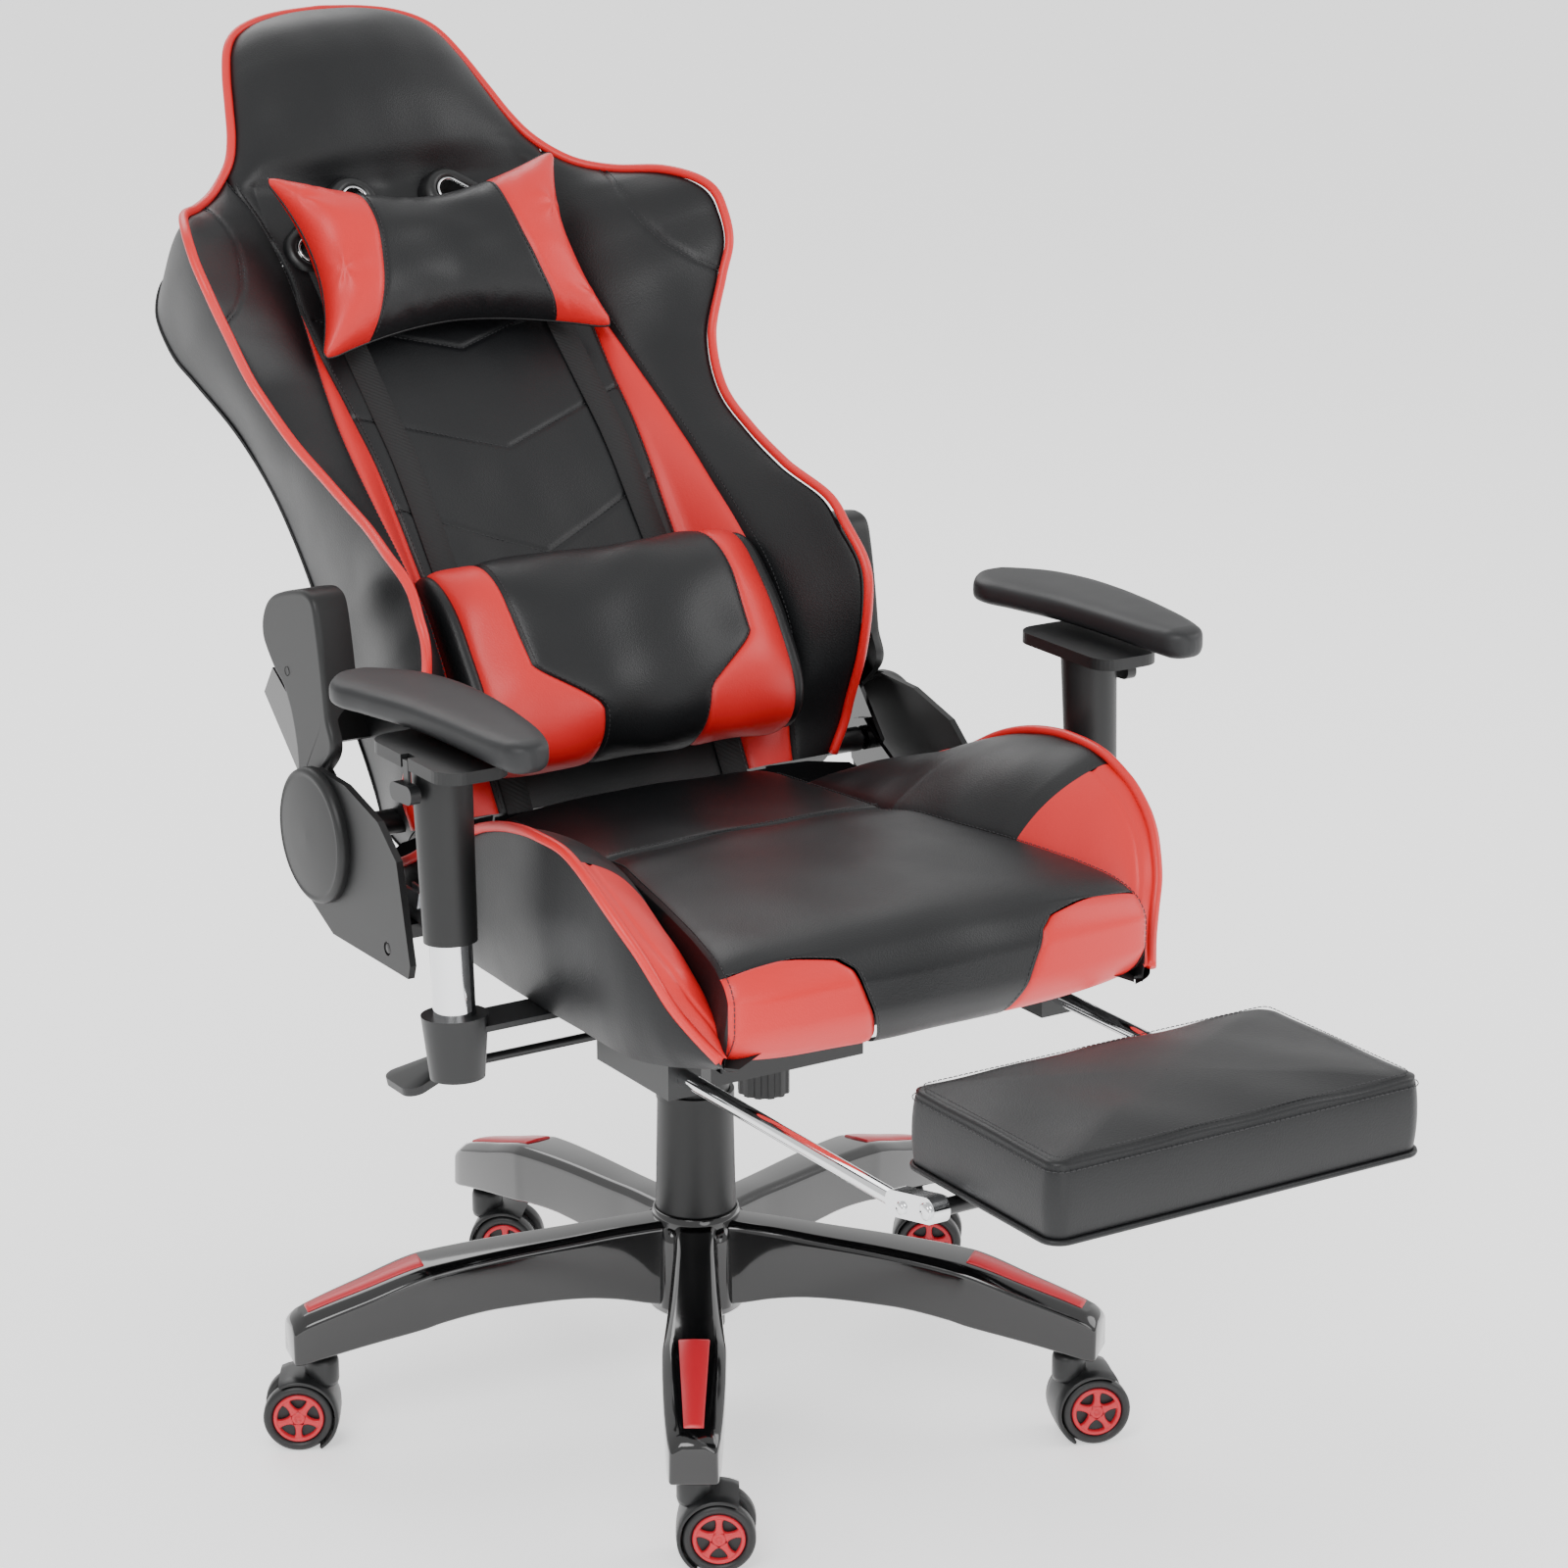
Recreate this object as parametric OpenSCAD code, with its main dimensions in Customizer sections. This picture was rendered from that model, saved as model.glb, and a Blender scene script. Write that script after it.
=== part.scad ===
// Racing-style swivel chair: five-arm base on twin-wheel casters, gas lift, tilting mechanism,
// reclining back, height-adjustable armrests and a slide-out footrest that folds over.
// Millimetres, +Z up. The chair faces -Y and +X is the sitter's left.
// Origin: floor level, on the axis of the gas lift.

/* [Base and casters] */
// Radius of the circle that the caster stems stand on
base_radius = 336; // [300:1:380]
// Direction of the first base arm, in degrees from +X
base_turn = -121.5; // [-180:0.5:180]
// Diameter of a caster wheel
wheel_d = 60; // [50:1:75]
// Distance from a caster's stem to its axle, seen from above
caster_trail = 20; // [16:1:24]
// Height of the base hub above the undersides of the arm tips
hub_rise = 92; // [80:1:110]

/* [Gas lift and tilt] */
// Distance from the hub's top to the underside of the tilt housing
column_h = 173; // [150:1:220]
// Outer radius of the lowest dust sleeve
sleeve_r = 35; // [34:0.5:40]
// Radius of the pressure tube
tube_r = 14; // [12:0.5:16]
// Height of the tilt housing's underside below the seat plate
housing_h = 100; // [90:1:120]

/* [Seat] */
// Width of the seat across the pipings of its bolsters
seat_w = 512; // [460:1:560]
// Distance from the lift axis to the front of the seat
seat_front = 388; // [350:1:430]
// Distance from the lift axis to the rear of the seat
seat_rear = 100; // [80:1:104]
// Thickness of the seat cushion
seat_t = 72; // [55:1:90]
// Height of the side bolsters above the middle of the seat
bolster_h = 64; // [40:1:80]

/* [Back] */
// Length of the back along its slope
back_l = 826; // [720:1:900]
// Widest width of the back, across its shoulders
back_w = 530; // [480:1:560]
// Lean of the back from upright, in degrees
back_lean = 36.5; // [30:0.5:40]
// Distance from the lift axis back to the recline pivot
hinge_y = 136; // [134:1:150]
// Height of the recline pivot above the seat plate
hinge_rise = 78; // [74:1:86]

/* [Armrests] */
// Distance of an armrest post from the middle
arm_x = 311; // [305:1:340]
// Distance of a post's foot in front of the lift axis
arm_y = 150; // [120:1:170]
// Length of an arm pad
pad_l = 270; // [230:1:290]
// Width of an arm pad
pad_w = 96; // [80:1:104]
// Height of a pad's underside above the seat plate
pad_rise = 227; // [215:1:245]
// Backward lean of the posts, in degrees
arm_lean = 3.5; // [0:0.5:5]

/* [Footrest] */
// Distance of a footrest rail from the middle
rail_x = 179; // [170:1:190]
// Diameter of a footrest rail
rail_d = 13; // [11:0.5:15]
// Distance from the lift axis to the footrest's pivot when pulled out
foot_pivot = 630; // [615:1:660]
// Width of the footrest pad
foot_w = 330; // [280:1:332]
// Depth of the footrest pad
foot_l = 178; // [150:1:190]
// Thickness of the footrest pad
foot_t = 66; // [50:1:75]

/* [Hidden] */
$fn = 48;
fit = 0.05;        // radial clearance of a running fit
gap = 0.5;         // clearance between neighbouring soft pieces
arms = 5;

tip_z = wheel_d + 20;
hub_top = tip_z + hub_rise;
mech_z = hub_top + column_h;
plate_z = mech_z + housing_h;
plate_t = 3;
frame_z = plate_z + 6;
frame_t = 14;
cushion_z = frame_z + frame_t + 1;
skirt_z = frame_z - 1;
seat_z = cushion_z + seat_t;
seat_hw = seat_w / 2;
panel_rear_hw = seat_hw * 0.535;
panel_front_hw = seat_hw * 0.762;

hub_r = 40;
stand_r = 25;
stem_r = 5.5;
bore_wall = 20;
rod_r = 5;
sleeve_top = hub_top + 110;

hinge_z = plate_z + hinge_rise;
pivot_back = 17.5; // pivot behind the back's front face
pivot_up = 16.7;   // pivot above the back's lower edge
plate_x = seat_hw + 2;      // inner face of the seat's hinge plates
hinge_plate_t = 4;
back_plate_x = plate_x + hinge_plate_t + 1;
lever_x = back_plate_x + hinge_plate_t + 1;
cover_x = plate_x + 28;     // outer face of the hinge covers
cover_wall = 2.5;
cap_r = 58;
bush_r = 9;
sync_r = 5;
cross_r = 11;

tilt_y = -70;
tilt_z = plate_z - 25;
tilt_r = 6;
house_hw = 75;
knob_y = -112;
lever_y = -50;
lever_z = mech_z + 25;

post_r = 24;
post_foot_r = 21.5;
arm_tube_r = 17;
socket_top = plate_z + 8;
post_gap = 62;  // bare tube between socket and post

rail_r = rail_d / 2;
rail_z = plate_z - 28;
foot_pivot_z = rail_z + 10;
foot_base = foot_pivot_z + 11;
foot_rear = foot_pivot - 56;

// stations along the back: share of its length, half-width of the piping as a share of the widest,
// and how far the piping stands in front of the lower edge's plane
BACK = [
    [0.000, 0.823, 6], [0.035, 0.830, 36], [0.073, 0.823, 91], [0.116, 0.819, 132],
    [0.153, 0.819, 145], [0.197, 0.808, 141], [0.237, 0.808, 127], [0.301, 0.796, 89],
    [0.367, 0.796, 53], [0.431, 0.815, 24], [0.498, 0.864, 15], [0.558, 0.940, 34],
    [0.594, 0.985, 48], [0.639, 1.000, 49], [0.690, 0.958, 30], [0.726, 0.864, -6]
];
// stations up the head panel, in the same units
HEAD = [
    [0.777, 0.645, -46], [0.804, 0.577, -49], [0.875, 0.494, -59], [0.940, 0.425, -68],
    [0.970, 0.370, -72], [0.990, 0.270, -75], [1.000, 0.130, -76]
];
// front face of the back's middle: share of the length, distance behind the lower edge's plane
MIDDLE = [
    [0.000, 0], [0.07, -7], [0.16, -10], [0.29, -4], [0.41, 3], [0.48, 18], [0.55, 33],
    [0.62, 43], [0.70, 52], [0.765, 54]
];
// rear face of the back, in the same units
REAR = [[0.000, 66], [0.25, 78], [0.50, 92], [0.765, 108], [1.000, 116]];
// seat bolster: share of the seat's front length, share of the half-width, share of the crest
BOLSTER = [
    [0.965, 0.816, -1.08], [0.935, 0.850, -0.75], [0.894, 0.887, -0.55], [0.840, 0.949, 0.06],
    [0.758, 0.988, 0.53], [0.691, 1.000, 0.77], [0.598, 0.998, 0.98], [0.464, 0.990, 1.02],
    [0.335, 0.985, 0.90], [0.206, 0.980, 0.56], [0.103, 0.970, 0.20], [0.000, 0.955, 0.02],
    [-0.13, 0.940, -0.14], [-0.25, 0.930, -0.42]
];

// ---------------------------------------------------------------- helpers

// value of column c of a table at t, between its rows
function at(table, t, c) =
    t <= table[0][0] ? table[0][c]
    : t >= table[len(table) - 1][0] ? table[len(table) - 1][c]
    : let (i = [for (k = [0 : len(table) - 2]) if (table[k][0] <= t && t < table[k + 1][0]) k][0],
           u = (t - table[i][0]) / (table[i + 1][0] - table[i][0]))
      table[i][c] + u * (table[i + 1][c] - table[i][c]);

// closed solid through rings of equal length, each ring a flat loop seen anticlockwise from its end
module loft(rings) {
    n = len(rings[0]);
    m = len(rings);
    points = [for (r = rings) each r];
    sides = [for (k = [0 : m - 2], i = [0 : n - 1]) each [
        [k * n + i, (k + 1) * n + i, (k + 1) * n + (i + 1) % n],
        [k * n + i, (k + 1) * n + (i + 1) % n, k * n + (i + 1) % n]
    ]];
    first = [[for (i = [0 : n - 1]) i]];
    last = [[for (i = [n - 1 : -1 : 0]) (m - 1) * n + i]];
    polyhedron(points = points, faces = concat(first, sides, last), convexity = 6);
}

module both_sides() {
    children();
    mirror([1, 0, 0]) children();
}

// tube or rod along X between two distances from the middle
module rod_x(r, x0, x1, y, z) {
    translate([x0, y, z]) rotate([0, 90, 0]) cylinder(r = r, h = x1 - x0);
}

module rod_y(r, y0, y1, x, z) {
    translate([x, y0, z]) rotate([-90, 0, 0]) cylinder(r = r, h = y1 - y0);
}

// outline in the YZ plane, given thickness along X from x0 to x1
module slab_x(outline, x0, x1) {
    translate([x0, 0, 0]) rotate([90, 0, 90]) linear_extrude(x1 - x0) polygon(outline);
}

// frame of the back: Z runs up its slope, -Y points out of its front face
module on_back() {
    translate([0, hinge_y, hinge_z]) rotate([-back_lean, 0, 0])
        translate([0, -pivot_back, -pivot_up]) children();
}

// frame of one armrest post: Z runs up the post from the level of the seat plate
module on_post() {
    translate([-arm_x, -arm_y, plate_z]) rotate([-arm_lean, 0, 0]) children();
}

// rounded bar in the XY plane
module rounded_rect(x, y, r) {
    offset(r = r, $fn = 32) square([x - 2 * r, y - 2 * r], center = true);
}

// ---------------------------------------------------------------- base

module arm_side() {
    s = base_radius / 336;
    polygon([
        [30 * s, hub_top - 8], [110 * s, hub_top - 9], [180 * s, hub_top - 12],
        [248 * s, tip_z + 75], [349 * s, tip_z + 43], [358 * s, tip_z + 35],
        [362 * s, tip_z], [316 * s, tip_z], [306 * s, tip_z + 8], [250 * s, tip_z + 21],
        [180 * s, tip_z + 28], [110 * s, tip_z + 27], [60 * s, tip_z + 18], [30 * s, tip_z + 6]
    ]);
}

module arm_plan() {
    s = base_radius / 336;
    edge = [[25, 22], [110, 19], [180, 21], [250, 26], [320, 24], [350, 20], [364, 16]];
    polygon(concat(
        [for (p = edge) [p[0] * s, -p[1]]],
        [for (k = [len(edge) - 1 : -1 : 0]) [edge[k][0] * s, edge[k][1]]]
    ));
}

module inlay_outline(grow) {
    offset(delta = grow) polygon([[0, -13], [0, 13], [106, 8], [106, -8]]);
}

// plane of an inlay: along the sloping top of an arm
module on_inlay() {
    s = base_radius / 336;
    fall = atan(32 / (101 * s));
    translate([246 * s, 0, tip_z + 75.6]) rotate([0, fall, 0]) children();
}

module base_star() color([0.02, 0.02, 0.02]) difference() {
    union() {
        translate([0, 0, tip_z - 4]) cylinder(r = hub_r, h = hub_rise + 4);
        for (k = [0 : arms - 1]) rotate([0, 0, base_turn + k * 360 / arms]) intersection() {
            rotate([90, 0, 0]) translate([0, 0, -40]) linear_extrude(80) arm_side();
            linear_extrude(hub_top + 10) arm_plan();
        }
    }
    translate([0, 0, tip_z - 30]) cylinder(r = stand_r + fit, h = hub_rise + 60);
    for (k = [0 : arms - 1]) rotate([0, 0, base_turn + k * 360 / arms]) {
        translate([base_radius, 0, tip_z - 1]) cylinder(r = stem_r + fit, h = 23);
        on_inlay() translate([0, 0, -2]) linear_extrude(10) inlay_outline(0.2);
    }
}

module base_inlays() color([0.75, 0.08, 0.1])
    for (k = [0 : arms - 1]) rotate([0, 0, base_turn + k * 360 / arms])
        on_inlay() translate([0, 0, -2]) linear_extrude(2.8) inlay_outline(0);

// ---------------------------------------------------------------- gas lift

module stand_tube() color([0.1, 0.1, 0.1]) translate([0, 0, tip_z - 18]) difference() {
    cylinder(r = stand_r, h = hub_rise + 118);
    translate([0, 0, 3]) cylinder(r = bore_wall, h = hub_rise + 55);
    translate([0, 0, 3]) cylinder(r = tube_r + fit, h = hub_rise + 120);
    translate([0, 0, -1]) cylinder(r = rod_r + fit, h = 10);
}

module lower_sleeve() color([0.12, 0.12, 0.12]) difference() {
    union() {
        translate([0, 0, hub_top]) cylinder(r1 = sleeve_r, r2 = sleeve_r - 2, h = 104);
        translate([0, 0, sleeve_top - 7]) cylinder(r = sleeve_r - 1, h = 7);
    }
    translate([0, 0, hub_top - 1]) cylinder(r = sleeve_r - 4.6, h = 120);
}

module piston_rod() color([0.8, 0.8, 0.8]) {
    translate([0, 0, tip_z - 22]) cylinder(r = rod_r, h = hub_rise + 90);
    translate([0, 0, hub_top + 50]) cylinder(r = tube_r - 2.5 - fit, h = 16);
    translate([0, 0, tip_z - 24]) cylinder(r = 8, h = 4);
}

module thrust_bearing() color([0.6, 0.6, 0.6]) difference() {
    translate([0, 0, tip_z - 14.5]) cylinder(r = 13, h = 6);
    translate([0, 0, tip_z - 16]) cylinder(r = rod_r, h = 10);
}

module pressure_tube() color([0.12, 0.12, 0.12]) translate([0, 0, tip_z + 30]) difference() {
    cylinder(r = tube_r, h = mech_z + 50 - tip_z - 30);
    translate([0, 0, 8]) cylinder(r = tube_r - 2.5, h = mech_z + 35 - tip_z - 38);
    translate([0, 0, -1]) cylinder(r = rod_r + fit, h = 10);
}

module middle_sleeve() color([0.1, 0.1, 0.1]) translate([0, 0, hub_top + 8]) difference() {
    cylinder(r = sleeve_r - 5.2, h = 120);
    translate([0, 0, -1]) cylinder(r = sleeve_r - 6.9, h = 122);
}

module upper_sleeve() color([0.1, 0.1, 0.1]) translate([0, 0, mech_z - 110]) difference() {
    cylinder(r = sleeve_r - 7.5, h = 110);
    translate([0, 0, -1]) cylinder(r = sleeve_r - 9.2, h = 112);
}

// ---------------------------------------------------------------- tilt mechanism

module tilt_housing() color([0.08, 0.08, 0.08]) difference() {
    union() {
        translate([-house_hw, -150, mech_z]) cube([2 * house_hw, 210, 50]);
        translate([-house_hw, tilt_y - 18, mech_z]) cube([2 * house_hw, 36, tilt_z + 14 - mech_z]);
    }
    difference() {
        translate([-house_hw + 4, -146, mech_z + 4]) cube([2 * house_hw - 8, 202, 120]);
        cylinder(r = tube_r + 6, h = mech_z + 50);
    }
    cylinder(r = tube_r + fit, h = mech_z + 60);
    rod_x(tilt_r + fit, -house_hw - 1, house_hw + 1, tilt_y, tilt_z);
    translate([0, knob_y, mech_z - 1]) cylinder(r = rod_r + fit, h = 6);
    translate([-house_hw - 1, lever_y - 5.2, lever_z - 6]) cube([8, 10.4, 13]);
}

module tilt_spring() color([0.3, 0.3, 0.32]) {
    turns = 5;
    steps = 14;
    coil_r = 16;
    wire_r = 3;
    rise = 66;
    rings = [for (k = [0 : turns * steps])
        let (a = k * 360 / steps, h = rise * k / (turns * steps))
        [for (j = [0 : 7]) let (b = -j * 45)
            [(coil_r + wire_r * cos(b)) * cos(a), (coil_r + wire_r * cos(b)) * sin(a),
             h + wire_r * sin(b)]]];
    translate([0, knob_y, mech_z + 7.5]) loft(rings);
}

module tilt_pivot_bolt() color([0.6, 0.6, 0.62]) {
    rod_x(tilt_r, -house_hw - 8, house_hw + 8, tilt_y, tilt_z);
    both_sides() rod_x(10, house_hw + 8, house_hw + 13, tilt_y, tilt_z);
}

module tension_knob() color([0.08, 0.08, 0.08]) {
    translate([0, knob_y, mech_z - 30]) difference() {
        cylinder(r = 22, h = 26);
        for (k = [0 : 11]) rotate([0, 0, k * 30]) translate([24, 0, -1]) cylinder(r = 4, h = 28);
    }
    translate([0, knob_y, mech_z - 6]) cylinder(r = rod_r, h = 64);
}

module lift_lever() color([0.1, 0.1, 0.1]) {
    rod_x(4, -arm_x + 50, -18, lever_y, lever_z);
}

module lift_paddle() color([0.06, 0.06, 0.06]) difference() {
    translate([-arm_x + 21, lever_y, lever_z]) rotate([0, -12, 0]) hull() {
        translate([38, 0, 0]) rotate([0, 90, 0]) cylinder(r = 8, h = 12, $fn = 32);
        translate([-14, 12, -6]) cylinder(r = 12, h = 7, $fn = 32);
        translate([-14, -12, -6]) cylinder(r = 12, h = 7, $fn = 32);
    }
    rod_x(4, -arm_x + 50, -18, lever_y, lever_z);
}

module seat_plate() color([0.1, 0.1, 0.1]) difference() {
    union() {
        translate([-110, -205, plate_z]) cube([220, 290, plate_t]);
        both_sides() translate([house_hw + 1, tilt_y - 18, tilt_z - 15])
            cube([4, 36, plate_z - tilt_z + 16]);
    }
    rod_x(tilt_r + fit, -house_hw - 20, house_hw + 20, tilt_y, tilt_z);
    for (x = [-90, 90], y = [-190, 70]) translate([x, y, plate_z - 1]) cylinder(r = 4, h = 6);
}

// ---------------------------------------------------------------- seat

module seat_frame() color([0.15, 0.15, 0.15]) {
    x = panel_front_hw - 12;
    y0 = -seat_front + 48;
    y1 = seat_rear - 8;
    difference() {
        translate([-x, y0, frame_z]) cube([2 * x, y1 - y0, frame_t]);
        translate([-x + 16, y0 + 16, frame_z - 1]) cube([2 * x - 32, y1 - y0 - 32, frame_t + 2]);
    }
    for (y = [-190, 70]) translate([-x, y - 18, frame_z - 3]) cube([2 * x, 36, 3]);
    both_sides() translate([x, 42, frame_z]) cube([plate_x - x, 30, 12]);
}

function panel_hw(y) =
    y > -93 ? panel_rear_hw
    : panel_rear_hw + (panel_front_hw - panel_rear_hw) * (-93 - y) / (seat_front - 115);

module seat_cushion() color([0.07, 0.07, 0.08]) {
    f = seat_front;
    // y, underside and top of each section
    rows = [
        [-f, cushion_z + 12, seat_z - 40], [-f + 6, cushion_z - 8, seat_z - 18],
        [-f + 20, skirt_z + 4, seat_z - 5], [-f + 36, skirt_z + 4, seat_z],
        [-f + 37, cushion_z, seat_z + 0.5], [-f * 0.8, cushion_z, seat_z + 4],
        [-f * 0.5, cushion_z, seat_z + 3], [-93, cushion_z, seat_z],
        [0, cushion_z, seat_z - 6], [seat_rear, cushion_z, seat_z - 12]
    ];
    loft([for (r = rows) let (w = panel_hw(max(r[0], -f + 22)) - (r[0] < -f + 1 ? 12 : 0) - gap)
        [[-w, r[0], r[1]], [-w, r[0], r[2]], [-w * 0.6, r[0], r[2] + 3], [w * 0.6, r[0], r[2] + 3],
         [w, r[0], r[2]], [w, r[0], r[1]]]]);
}

// one bolster on the sitter's right
module seat_bolster() {
    rings = [for (b = BOLSTER)
        let (y = b[0] > 0 ? -b[0] * seat_front : -b[0] * seat_rear * 4,
             outer = b[1] * seat_hw,
             crest = seat_z + b[2] * bolster_h,
             inner = min(panel_hw(y), outer - 12),
             root = min(seat_z - 2, crest - 1),
             low = min(cushion_z, root - 8), e = min(24, (outer - inner) * 0.6))
        [[-inner, y, low], [-outer + e, y, low], [-outer + e * 0.9, y, skirt_z],
         [-outer + e * 0.3, y, skirt_z],
         [-outer, y, (crest + skirt_z) / 2], [-outer, y, crest], [-outer + 8, y, crest + 4],
         [-outer + (outer - inner) * 0.45, y, crest], [-inner, y, root]]];
    difference() {
        loft(rings);
        // notch for the frame's ear
        translate([-300, 41, frame_z - 10]) cube([300, 32, 22.5]);
    }
}

module seat_bolster_right() color([0.75, 0.12, 0.12]) seat_bolster();

module seat_bolster_left() color([0.75, 0.12, 0.12]) mirror([1, 0, 0]) seat_bolster();

// ---------------------------------------------------------------- armrests

module arm_bracket() {
    difference() {
        union() {
            translate([-arm_x, -arm_y - 20, plate_z - 3]) cube([arm_x - 150, 40, 5]);
            on_post() translate([0, 0, -42]) cylinder(r1 = 22, r2 = 27, h = 52);
        }
        on_post() translate([0, 0, -30]) cylinder(r = arm_tube_r, h = 60);
        for (x = [-170, -205]) translate([x, -arm_y, plate_z - 5]) cylinder(r = 4, h = 10);
    }
}

module arm_brackets() color([0.06, 0.06, 0.06]) both_sides() arm_bracket();

module arm_tubes() color([0.85, 0.85, 0.87]) both_sides() on_post() difference() {
    translate([0, 0, -30]) cylinder(r = arm_tube_r, h = 172);
    translate([0, 0, -31]) cylinder(r = arm_tube_r - 2, h = 180);
}

module arm_post() difference() {
    union() {
        on_post() translate([0, 0, 8 + post_gap])
            cylinder(r1 = post_foot_r, r2 = post_r, h = pad_rise - post_gap - 20);
        // carrier under the pad
        translate([-arm_x, pad_rise * tan(arm_lean) - arm_y, plate_z + pad_rise - 13.5])
            linear_extrude(10) rounded_rect(64, 130, 20);
    }
    on_post() cylinder(r = arm_tube_r + fit, h = pad_rise - 20);
    // slot that the height button hangs from
    on_post() translate([-33, -6, pad_rise - 20]) cube([8, 12, 18]);
}

module arm_post_right() color([0.07, 0.07, 0.07]) arm_post();

module arm_post_left() color([0.07, 0.07, 0.07]) mirror([1, 0, 0]) arm_post();

module arm_pad() {
    // share of the length from the front, half-width share, sideways shift
    plan = [[0, 0.13, 21], [0.03, 0.29, 22], [0.085, 0.45, 23.5], [0.18, 0.56, 26], [0.33, 0.66, 28.5],
            [0.44, 0.72, 29.5], [0.58, 0.79, 29], [0.77, 0.885, 22.5], [0.845, 0.885, 17.5],
            [0.905, 0.82, 12.5], [0.963, 0.58, 7], [1, 0.23, 4]];
    z0 = plate_z + pad_rise - 3;
    pad_t = 28;
    rings = [for (p = plan)
        let (y = -arm_y + pad_l * (p[0] - 0.363), w = p[1] * pad_w / 2, x = -arm_x + p[2],
             z1 = z0 + pad_t - 5 * abs(p[0] - 0.5), e = min(7, w * 0.5))
        [[x - w + e, y, z0], [x - w, y, z0 + 8], [x - w, y, z1 - 9], [x - w + e, y, z1 - 2],
         [x, y, z1], [x + w - e, y, z1 - 2], [x + w, y, z1 - 9], [x + w, y, z0 + 8],
         [x + w - e, y, z0]]];
    loft(rings);
}

module arm_pad_right() color([0.1, 0.1, 0.1]) arm_pad();

// both pads are the same moulding, so both bow towards the sitter's left
module arm_pad_left() color([0.1, 0.1, 0.1]) translate([2 * arm_x + 4, 0, 0]) arm_pad();

// hanging strip with a finger tab, pressed in towards the post
module arm_button() on_post() {
    translate([-31.5, -4, pad_rise - 26]) cube([2.5, 8, 20]);
    translate([-37, 0, pad_rise - 32]) rotate([0, 90, 0]) linear_extrude(9)
        rounded_rect(15, 36, 7);
}

module arm_button_right() color([0.06, 0.06, 0.06]) arm_button();

module arm_button_left() color([0.06, 0.06, 0.06]) mirror([1, 0, 0]) arm_button();

// ---------------------------------------------------------------- footrest

module footrest_guides() color([0.07, 0.07, 0.07]) both_sides() difference() {
    translate([rail_x - 15, -282, rail_z - 17]) cube([30, 112, frame_z - rail_z + 13.7]);
    rod_y(rail_r + fit, -290, -160, rail_x, rail_z);
}

module footrest_rails() color([0.85, 0.85, 0.87]) {
    both_sides() rod_y(rail_r, -foot_pivot + 34, -120, rail_x, rail_z);
}

module footrest_clevises() color([0.85, 0.85, 0.87]) both_sides() difference() {
    hull() {
        rod_x(10, rail_x - 7, rail_x + 7, -foot_pivot + 44, rail_z + 1);
        rod_x(10, rail_x - 7, rail_x + 7, -foot_pivot, foot_pivot_z);
    }
    rod_x(rail_r, rail_x - 8, rail_x + 8, -foot_pivot, foot_pivot_z);
    rod_y(rail_r, -foot_pivot + 34, 0, rail_x, rail_z);
}

// board under the pad, with the axle that turns in the clevises
module footrest_board() color([0.06, 0.06, 0.06]) {
    translate([-foot_w / 2 + 14, -foot_rear - foot_l + 14, foot_base - 6])
        cube([foot_w - 28, foot_l - 28, 5.5]);
    rod_x(rail_r - fit, -rail_x - 9, rail_x + 9, -foot_pivot, foot_pivot_z);
    for (x = [-110, 0, 110]) translate([x - 12, -foot_pivot - 10, foot_pivot_z]) cube([24, 20, 8]);
}

module footrest_pad() color([0.08, 0.08, 0.09])
    translate([0, -foot_rear - foot_l / 2, foot_base]) hull() {
        linear_extrude(foot_t - 10) rounded_rect(foot_w, foot_l, 14);
        linear_extrude(foot_t) rounded_rect(foot_w - 16, foot_l - 16, 10);
    }

// ---------------------------------------------------------------- recline hinges

module seat_hinge_plate() difference() {
    slab_x([[42, frame_z], [72, frame_z], [hinge_y + 14, hinge_z - 22], [hinge_y + 18, hinge_z],
            [hinge_y + 12, hinge_z + 16], [hinge_y - 6, hinge_z + 20], [hinge_y - 22, hinge_z + 8],
            [30, frame_z + 34]], plate_x, plate_x + hinge_plate_t);
    rod_x(bush_r, plate_x - 1, plate_x + 10, hinge_y, hinge_z);
}

// plate with its flanged bush, in which the sync rod turns
module seat_hinge_plates() color([0.12, 0.12, 0.13]) both_sides() {
    seat_hinge_plate();
    difference() {
        rod_x(bush_r, plate_x, lever_x - 0.5, hinge_y, hinge_z);
        rod_x(sync_r + fit, plate_x - 1, lever_x + 1, hinge_y, hinge_z);
    }
}

module back_hinge_plate() difference() {
    on_back() slab_x([[pivot_back - 24, 4], [pivot_back + 6, -6], [pivot_back + 26, 14],
                      [74, 170], [44, 180], [pivot_back - 20, 60]],
                     back_plate_x, back_plate_x + hinge_plate_t);
    rod_x(bush_r + fit, plate_x, lever_x + 1, hinge_y, hinge_z);
}

module back_hinge_plates() color([0.12, 0.12, 0.13]) both_sides() back_hinge_plate();

lower_cover_outline = [
    [hinge_y + 20, hinge_z - 62], [hinge_y - 22, hinge_z - 82], [-22, hinge_z - 82],
    [-26, hinge_z - 70], [-6, hinge_z + 14], [26, hinge_z + 40], [84, hinge_z + 56],
    [hinge_y, hinge_z + 58], [hinge_y + 40, hinge_z + 40], [hinge_y + 56, hinge_z],
    [hinge_y + 44, hinge_z - 40]
];

// shell open towards the seat, its outer wall far enough out for the back's plate to turn inside
module hinge_lower_cover() difference() {
    slab_x(lower_cover_outline, cover_x - 6, cover_x);
    translate([cover_x - 7, 0, 0]) rotate([90, 0, 90]) linear_extrude(7 - cover_wall)
        offset(delta = -cover_wall) polygon(lower_cover_outline);
    rod_x(6, cover_x - 10, cover_x + 1, 14, hinge_z - 66);
}

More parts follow.
